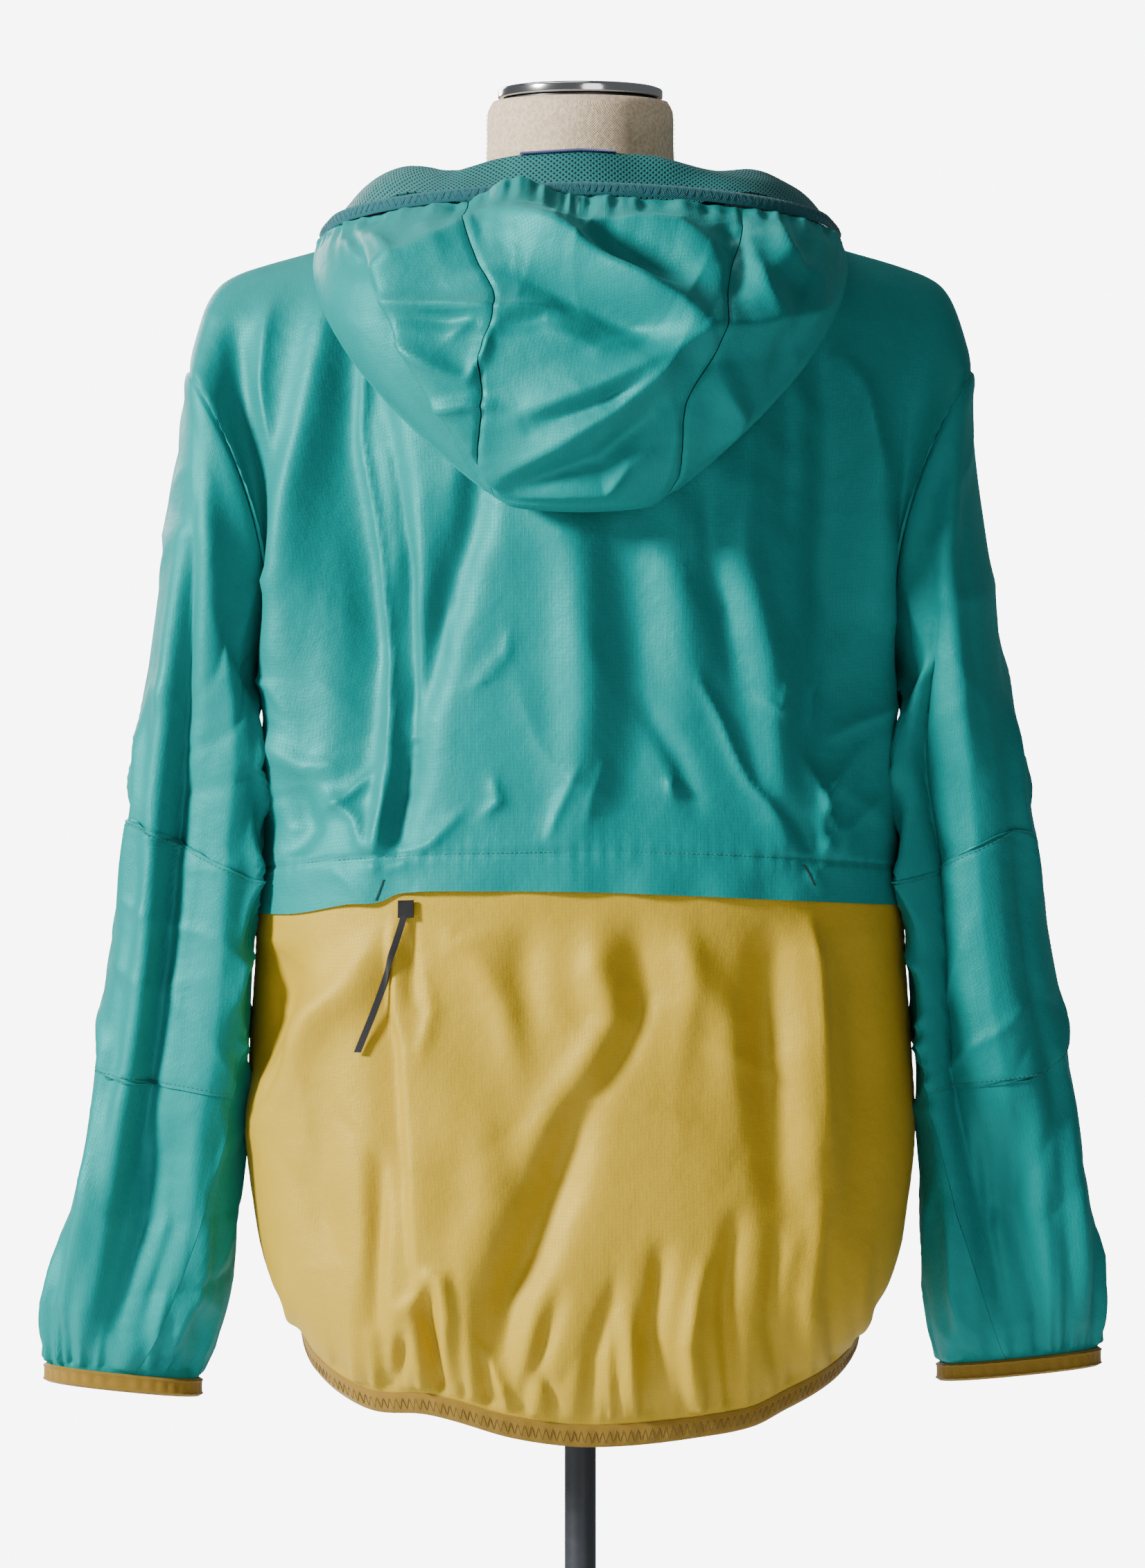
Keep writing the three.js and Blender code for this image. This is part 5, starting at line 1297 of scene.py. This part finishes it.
# Hood
def hood_relief(q, row, base):
    x, z = base[..., 0], base[..., 2]
    seen = clamp((0.93 - np.abs(q)) / 0.16, 0, 1)
    band = clamp((row - 0.25) / 0.7, 0, 1) * clamp((7.6 - row) / 0.8, 0, 1)
    folds = creases(HOOD_CREASES, x, z) * 1.6 * band * seen
    rough = crumple(x, z, 81, 40, 5) * 1.8 * band * seen
    girth = np.abs(q) * 180
    down = row * HOOD_ROW_STEP
    gathered = gathers(np.sign(q) * girth + 400, down, 91, 26) * 1.3 * np.exp(-down / 20)
    gathered = gathered * clamp((1.2 - np.abs(q)) / 0.2, 0, 1)
    seam_left = np.abs(q - read(HOOD, row, "seamL")) * read(HOOD, row, "half") * 1.2
    seam_right = np.abs(q - read(HOOD, row, "seamR")) * read(HOOD, row, "half") * 1.2
    seams = (pucker(z, seam_left, 93, 13, 15) + pucker(z, seam_right, 95, 13, 15)) * seen
    return folds + rough + gathered + seams


def hood_shift(q, row, base):
    """The middle panel's left corner stands up over the binding."""
    x = base[..., 0]
    peak = np.exp(-(((x + 40) / 21) ** 2)) * np.exp(-((row / 0.75) ** 2)) * clamp(1.2 - np.abs(q), 0, 1)
    return point(0 * peak, -7 * peak, 13 * peak)


def hood_panels():
    cloth = Cloth(hood, -1, (5e-4, 2e-3), hood_relief, hood_shift)
    rows = np.concatenate([steps(0.04, 1.2, 26)[:-1], steps(1.2, 7.8, 90)])

    def gap(row):
        return 0.25 / read(HOOD, row, "half")

    t, v = np.meshgrid(steps(0, 1, 88), rows)
    edge = HOOD_FRONT_SEAM * (1 + v / 9)
    for name, start, end in (
        ("left", -2 + edge + gap(v), read(HOOD, v, "seamL") - gap(v)),
        ("right", read(HOOD, v, "seamR") + gap(v), 2 - edge - gap(v)),
    ):
        piece = shell(f"hood_{name}_cloth", cloth.at(mix(start, end, t), v), -1)
        dress(piece, teal, "shell_teal", [f"hood_{name}"])

    def middle(p, way):
        row = np.where(way <= 8, way, 16 - way)
        behind = clamp((way - 7.8) / 0.4, 0, 1)[..., None]
        q = mix(read(HOOD, row, "seamL") + gap(row), read(HOOD, row, "seamR") - gap(row), p)
        edge = HOOD_FRONT_SEAM * (1 + row / 9) - gap(row)
        across = mix(-edge, edge, p)
        hidden = hood(np.where(across < 0, -1.0, 1.0) * (2 - np.abs(across)), row)
        outside = hood(q, row)
        return mix(outside, hidden, behind)

    def middle_relief(p, way, base):
        row = np.where(way <= 8, way, 16 - way)
        q = mix(read(HOOD, row, "seamL"), read(HOOD, row, "seamR"), p)
        return hood_relief(q, row, base) * clamp((7.9 - way) / 0.5, 0, 1)

    def middle_shift(p, way, base):
        row = np.where(way <= 8, way, 16 - way)
        return hood_shift(mix(-0.35, 0.49, p), row, base) * (way < 8)[..., None]

    panel = Cloth(middle, -1, (5e-4, 2e-3), middle_relief, middle_shift)
    ways = np.concatenate([rows, [7.9, 8.0, 8.1], steps(8.2, 15.96, 34)])
    p, way = np.meshgrid(steps(0, 1, 124), ways)
    piece = shell("hood_middle_cloth", panel.at(p, way), -1)
    dress(piece, teal, "shell_teal", ["hood_middle"])


def lining_relief(turn, w, base):
    rough = crumple(turn * 1.9 + 300, w * 30, 101, 42, 4) * 1.8
    soft = (noise(turn / 17 + 30, w * 1.2, 103) - 0.5) * 3.2
    return (rough + soft) * np.sin(PI * clamp(w / 3, 0, 1)) ** 0.7


def hood_lining():
    cloth = Cloth(collar, -1, (0.2, 5e-3), lining_relief)
    turn, w = np.meshgrid(steps(-COLLAR_END, COLLAR_END, 240), steps(0, 3, 42))
    piece = shell("hood_lining_mesh", cloth.at(turn, w), -1, 1.0)
    dress(piece, lining_mesh, "lining_mesh", ["hood_lining"])
    label = Cloth(collar, -1, (0.2, 5e-3), lambda turn, w, base: lining_relief(turn, w, base) + 1.9)
    turn, w = np.meshgrid(steps(-24, 14, 36), steps(0.35, 1.25, 24))
    piece = shell("neck_label_tape", label.at(turn, w), -1, 0.9)
    dress(piece, navy, "label_navy", ["neck_label"])


def hood_binding():
    def surface(s, h):
        near = np.exp(-(((np.abs(s) - 1) / 0.16) ** 4))[..., None]
        spread = sum(opening(s + step) for step in (-0.12, -0.08, -0.04, 0, 0.04, 0.08, 0.12)) / 7
        here = mix(opening(s), spread, near)
        out = unit(here * (1, 1, 0))
        turned = clamp((np.abs(s) - 1) / 0.3, 0, 1)
        # Past the hood's corner the binding takes in the lining's edge.
        clear = 0.3 + clamp((np.abs(s) - 0.7) / 0.2, 0, 1) * 0.9 - 3.4 * ramp(np.abs(s), 1.04, 1.18)
        before = out * (1, 1, 0) + (0, 0, -0.55)
        behind = np.broadcast_to(np.array([0, 0.3, 1.0]), before.shape)
        way = unit(mix(behind, before, turned[..., None]))
        low = 1 - 0.6 * np.exp(-(((np.abs(s) - 1.08) / 0.12) ** 2))
        return here + way * (HOOD_BINDING_HEIGHT * h * low + clear)[..., None]

    def relief(s, h, base):
        return 0.8 * rounded(h) + 0.3 * np.sin(s * 260) * np.sin(PI * clamp(h, 0, 1))

    band = Cloth(surface, 1, (5e-4, 1e-2), relief)
    s, h = np.meshgrid(steps(-2, 2, 500), steps(0, 1, 8))
    piece = shell("hood_elastic", band.at(s, h), 1, 2.2)
    dress(piece, teal_elastic, "binding_teal", ["hood_binding"])
    runs = []
    for start, end in ((-1.98, -1.3), (-0.98, 0.98), (1.3, 1.98)):
        us = steps(start, end, 500)
        runs.append([path_on(band, us, us * 0 + h, 0.1) for h in (0.2, 0.82)])
    zigzag_stitches("hood_stitches", runs, blue_thread, "binding_teal")


def flap_stitches():
    us = steps(-0.995, 0.995, 700)
    level = FLAP_SEAM_LEVEL
    t = (level - flap_level(us)) / (SHOULDER_EDGE - flap_level(us))
    seam = path_on(upper_back, us, t, 0.15)
    straight_stitches("flap_stitches", [seam], teal_thread, "shell_teal", 0.34)
    tacks = []
    for x, low, high, lean in ((-126, 1026.5, 1037, 0.4), (144, 1034.5, 1046.5, -0.5)):
        z = np.arange(low, high, 0.8)
        a = across_at(x + lean * (z - low))
        t = (z - FLAP_RISE * (1 - a**2) - flap_level(a)) / (TOP_LEVEL - flap_level(a))
        half = 0.0035
        left = upper_back.at(a - half, t, 0.2)
        right = upper_back.at(a + half, t, 0.2)
        tacks.append((left, right, upper_back.normal(a, t)))
    joined = [np.concatenate(part) for part in zip(*tacks)]
    threads("bar_tacks", *joined, 0.42, dark_thread, "shell_teal")


def across_at(x):
    """The u of the back where it has a given x, near the pocket."""
    reach = np.abs(np.asarray(x, float)) / POCKET_HALF_WIDTH
    return np.sign(x) * (np.arcsin(reach ** (1 / SECTION)) * 2 / PI) ** (1 / TURN_POWER)


# Zips
def teeth(name, spots, outs, ups, size, material, slot):
    """Small blunt teeth: spots are their centres, outs their outward way, ups the zip's own way."""
    spots, outs, ups = (np.asarray(a, float) for a in (spots, outs, ups))
    outs, ups = unit(outs), unit(ups)
    sides = unit(np.cross(ups, outs))
    corners = []
    for sz, shrink in ((-1, 1.0), (1, 0.7)):
        for sx, sy in ((-1, -1), (1, -1), (1, 1), (-1, 1)):
            wide, tall = sides * sx * size[0] * shrink, ups * sy * size[1] * shrink
            corners.append(spots + wide + tall + outs * sz * size[2])
    vertices = np.stack(corners, 1).reshape(-1, 3)
    ends = [(0, 3, 2, 1), (4, 5, 6, 7)]
    quads = np.array(ends + [(k, (k + 1) % 4, (k + 1) % 4 + 4, k + 4) for k in range(4)])
    faces = (np.arange(len(spots))[:, None, None] * 8 + quads[None]).reshape(-1, 4)
    dress(new_object(name, vertices, faces, smooth=False), material, slot)


def front_zip():
    shoulder = steps(ARMPIT_LEVEL, TOP_LEVEL - 0.4, 90)
    levels = np.concatenate([steps(HEM_LEVEL, ARMPIT_LEVEL, 110)[:-1], shoulder])
    spots, outs, ups = [], [], []
    for side, name in SIDES:

        def surface(p, level, side=side):
            middle = body(0 * level, level, 1)
            return point(side * mix(SEAM_GAP, ZIP_HALF_WIDTH, p), middle[..., 1], middle[..., 2])

        def relief(p, level, base):
            return 0.12 * np.sin(level / 1.3) + 0.35 * np.exp(-(((p - 0.08) / 0.1) ** 2))

        tape = Cloth(surface, -side, (0.02, 0.05), relief)
        p, level = np.meshgrid(steps(0, 1, 8), levels)
        piece = shell(f"front_zip_tape_{name}", tape.at(p, level), -side, 0.9)
        node, under = [f"front_zip_{name}"], [f"front_upper_{name}"]
        dress(piece, tape_black, "zip_tape", node)
        dense = steps(HEM_LEVEL + 2, TOP_LEVEL - 1, 1500)
        path, normals, length = path_on(tape, 0 * dense + 0.14, dense, 0.55)
        places = np.arange(1, length[-1] - 1, 1.5) + (0.375 if side > 0 else 0)
        a, n = along_path(path, normals, length, places)
        b, _ = along_path(path, normals, length, places + 0.4)
        spots.append(a)
        outs.append(n)
        ups.append(b - a)
    places = map(np.concatenate, (spots, outs, ups))
    teeth("front_zip_teeth", *places, (1.1, 0.42, 0.5), hard_black, "zip_tape")


def pocket():
    def surface(x, level):
        return body(across_at(x), level, -1)

    strip = Cloth(surface, 1, (0.2, 0.05), lambda x, level, base: 1.35 + 0 * x)
    x, level = np.meshgrid(steps(-118, 122, 160), steps(FLAP_EDGE_LEVEL + 9, FLAP_SEAM_LEVEL - 6, 8))
    piece = shell("pocket_zip_tape", strip.at(x, level), 1, 0.8)
    dress(piece, tape_black, "zip_tape", ["pocket_zip"])

    pull_x, pull_top, pull_length = -109, 1011, 72

    def tape(x, level):
        """The pull's tape hangs from the slider and drifts to the left on its way down."""
        drop = clamp((pull_top - level) / pull_length, 0, 1)
        return surface(x + pull_x - 26 * drop**1.1, level)

    def hanging(x, level, base):
        """The tape lies over the lower back's larger folds, clear of them."""
        return lower_back_relief(across_at(base[..., 0]), level, base) * 0.6 + 4.0

    flat_tape = Cloth(tape, 1, (0.2, 0.2), hanging)
    x, level = np.meshgrid(steps(-2, 2, 8), steps(pull_top - pull_length, pull_top, 90))
    piece = shell("pocket_pull_tape", flat_tape.at(x, level), 1, 0.9)
    dress(piece, tape_black, "zip_tape", ["pocket_pull"])


def turned(profile, count):
    """A solid turned from (radius, height) points that starts and ends on the axis."""
    profile = np.array(profile, float)
    turn = 2 * PI * np.arange(count) / count
    rings = [point(r * np.cos(turn), r * np.sin(turn), z + 0 * turn) for r, z in profile]
    vertices = np.concatenate(rings + [np.array([[0, 0, profile[0][1]], [0, 0, profile[-1][1]]])])
    faces = []
    for j in range(len(profile) - 1):
        for i in range(count):
            k = (i + 1) % count
            faces.append((j * count + i, j * count + k, (j + 1) * count + k, (j + 1) * count + i))
    foot, head, last = len(profile) * count, len(profile) * count + 1, (len(profile) - 1) * count
    for i in range(count):
        k = (i + 1) % count
        faces.append((foot, k, i))
        faces.append((head, last + i, last + k))
    return vertices, faces


def arc(centre_r, centre_z, radius, start, end):
    """Points of a round edge, angles in degrees from the outward way."""
    turn = np.radians(steps(start, end, 6))
    return [(centre_r + radius * math.cos(t), centre_z + radius * math.sin(t)) for t in turn]


def dress_form():
    """The linen body, finer than its solid and with its seams pressed in."""
    fine = np.unique(np.concatenate([steps(790, 1400, 70), steps(1400, 1534, 50), FORM["z"]]))
    count = 144
    turn = 2 * PI * np.arange(count + 1) / count
    c, s = np.cos(turn)[None, :], np.sin(turn)[None, :]
    sizes = {key: read(FORM, fine, key)[:, None] for key in ("half", "back", "front", "power")}
    x = sizes["half"] * power(c, sizes["power"])
    y = power(s, sizes["power"]) * np.where(s > 0, sizes["front"], sizes["back"])
    seam_side = np.abs(np.abs(c) - 1) * 60
    level = fine[:, None] + 0 * c
    groove = 0.5 * np.exp(-((seam_side / 0.9) ** 2)) + 0.5 * np.exp(-(((level - FORM_NECK_SEAM) / 1.1) ** 2))
    radial = unit(point(x, y, 0 * x))
    points = point(x, y, level) - radial * groove[..., None]
    top = points[-1:] * (0.4, 0.4, 1) + (0, 0, -0.2)
    foot = points[:1] * (0.3, 0.3, 1) + (0, 0, 0.3)
    rows = np.concatenate([foot, points, top])
    shape = rows.shape[:2]
    ids = np.arange(shape[0] * shape[1]).reshape(shape)
    faces = [*grid_faces(ids).tolist(), ids[0, ::-1].tolist()[:-1], ids[-1].tolist()[:-1]]
    up = np.broadcast_to(length_along(rows)[:, shape[1] // 4][:, None], shape)
    uv = np.stack([length_along(rows, 1), up], -1).reshape(-1, 2)
    piece = new_object("form_linen", rows.reshape(-1, 3), faces, uv=uv)
    dress(piece, linen, "linen", ["form_body"])
    paths = []
    for side in (-1, 1):
        z = steps(1462, 1530, 60)
        spots = point(side * (read(FORM, z, "half") - 0.2), 0 * z, z)
        paths.append((spots, np.broadcast_to(np.array([side, 0.0, 0.0]), spots.shape), z - z[0]))
    around = np.radians(steps(0, 360, 240))
    ring = point(61.4 * np.cos(around), 60.6 * np.sin(around), FORM_NECK_SEAM + 0 * around)
    paths.append((ring, unit(ring * (1, 1, 0)), length_along(ring)))
    straight_stitches("form_stitches", paths, linen_thread, "linen", 0.22, 0.6)


def stand():
    """The neck's cap and the parts of the pole and base, each turned from its own profile."""
    spacer = [(48, 1534.35), (49, 1534.6), (49, 1536.0), (48.4, 1536.3)]
    cap = [(50.6, 1536.6)] + arc(51.3, 1537.8, 1.2, -80, 0) + arc(51.0, 1541.2, 1.5, 0, 75)
    cap += [(49.4, 1543.4), (20, 1544.15)]
    pole = [(9.4, 7.4), (10, 8), (10, 750.8), (9.4, 751.4)]
    flange = [(23, 751.7)] + arc(23, 752.7, 1, -90, 0) + [(24, 784), (25, 785.2)]
    flange += arc(33, 787, 1, -60, 60) + [(32, 789.6)]
    plate = [(190, 0)] + arc(192.5, 2.5, 2.5, -90, 0) + arc(192.5, 4.5, 2.5, 0, 90) + [(60, 7.0), (24, 7.0)]
    ring = [(25, 7.3)] + arc(24.0, 8.4, 1.0, -90, 20) + [(22, 12), (22, 34.5)]
    ring += arc(20.6, 35.8, 1.4, 0, 90) + [(10.6, 37.3)]
    for name, profile, material, slot, node in (
        ("cap_spacer_disc", spacer, pole_black, "stand_black", "cap_spacer"),
        ("neck_cap_disc", cap, chrome, "cap_steel", "neck_cap"),
        ("pole_tube", pole, pole_black, "stand_black", "pole"),
        ("pole_flange", flange, pole_black, "stand_black", "pole_head"),
        ("base_plate", plate, pole_black, "stand_black", "base"),
        ("base_ring", ring, pole_black, "stand_black", "base_collar"),
    ):
        piece = new_object(name, *turned(profile, 128))
        piece.data.set_sharp_from_angle(angle=CRISP_EDGE)
        dress(piece, material, slot, [node])


def hard_pieces():
    """The sliders and the pull keep their solids' shapes, with softened edges."""
    for node, name, riding, material in (
        ("front_slider", "front_slider_metal", ROOT, hard_black),
        ("front_pull", "front_pull_metal", "front_pull", hard_black),
        ("pocket_slider", "pocket_slider_metal", ROOT, hard_black),
    ):
        piece = frame["nodes"][node].copy()
        piece.data = frame["nodes"][node].data.copy()
        piece.name = name
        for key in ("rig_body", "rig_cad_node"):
            if key in piece:
                del piece[key]
        piece.parent = None
        bpy.context.scene.collection.objects.link(piece)
        piece.data.materials.clear()
        piece.data.materials.append(material)
        if node == "pocket_slider":
            piece.location += Vector(POCKET_SLIDER_SHIFT)
        edge = piece.modifiers.new("edge", "BEVEL")
        edge.width, edge.segments, edge.limit_method = METAL_EDGE, 2, "ANGLE"
        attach(piece, riding)
        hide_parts(node)


def studio():
    camera_data = bpy.data.cameras.new("camera")
    camera = bpy.data.objects.new("camera", camera_data)
    bpy.context.scene.collection.objects.link(camera)
    distance, height, aside = 4.2, 1.1, -0.005
    camera.location = (aside, -distance, height)
    camera.rotation_euler = (PI / 2, 0, 0)
    camera_data.sensor_width = 36
    camera_data.lens = 36 * distance  # the picture's height is one metre at the part
    bpy.context.scene.camera = camera

    radius, count = 4.0, 96
    turn = 2 * PI * np.arange(count) / count
    rim = point(radius * np.cos(turn), radius * np.sin(turn), 0 * turn) / MM
    floor = new_object("floor", rim, [list(range(count))], smooth=False)
    material, shader = new_material("floor", (0.86, 0.86, 0.86), 0.6)
    graph = Graph(material)
    tone = graph.blend(graph.noise(3, 2), (0.85, 0.85, 0.85), (0.88, 0.88, 0.88))
    graph.join(tone, shader.inputs["Base Color"])
    floor.data.materials.append(material)

    def lamp(name, place, aim, size, power, colour=(1, 1, 1)):
        data = bpy.data.lights.new(name, "AREA")
        data.shape, data.size, data.energy, data.color = "DISK", size, power, colour
        made = bpy.data.objects.new(name, data)
        bpy.context.scene.collection.objects.link(made)
        made.location = place
        made.rotation_euler = (Vector(aim) - Vector(place)).to_track_quat("-Z", "Y").to_euler()

    lamp("key", (-3.2, -1.7, 2.5), (0, 0, 1.15), 0.8, 400, (1, 0.99, 0.97))
    lamp("fill", (1.2, -4.0, 1.8), (0, 0, 1.1), 2.0, 30)
    lamp("top", (-0.6, 0.4, 3.4), (0, 0, 1.2), 1.6, 18)
    lamp("front_key", (-1.8, 3.4, 2.4), (0, 0, 1.1), 1.6, 80)

    world = bpy.data.worlds.new("world")
    bpy.context.scene.world = world
    world.use_nodes = True
    tree = world.node_tree
    tree.nodes.clear()
    out = tree.nodes.new("ShaderNodeOutputWorld")
    seen, lit = tree.nodes.new("ShaderNodeBackground"), tree.nodes.new("ShaderNodeBackground")
    seen.inputs[0].default_value, seen.inputs[1].default_value = (0.985, 0.99, 1.0, 1), 7.6
    lit.inputs[0].default_value, lit.inputs[1].default_value = (0.9, 0.95, 1.0, 1), 0.16
    path, choose = tree.nodes.new("ShaderNodeLightPath"), tree.nodes.new("ShaderNodeMixShader")
    tree.links.new(path.outputs["Is Camera Ray"], choose.inputs[0])
    tree.links.new(lit.outputs[0], choose.inputs[1])
    tree.links.new(seen.outputs[0], choose.inputs[2])
    tree.links.new(choose.outputs[0], out.inputs[0])


studio()
body_panels()
hem_binding()
sleeves()
hood_panels()
hood_lining()
hood_binding()
flap_stitches()
front_zip()
pocket()
dress_form()
stand()
hard_pieces()
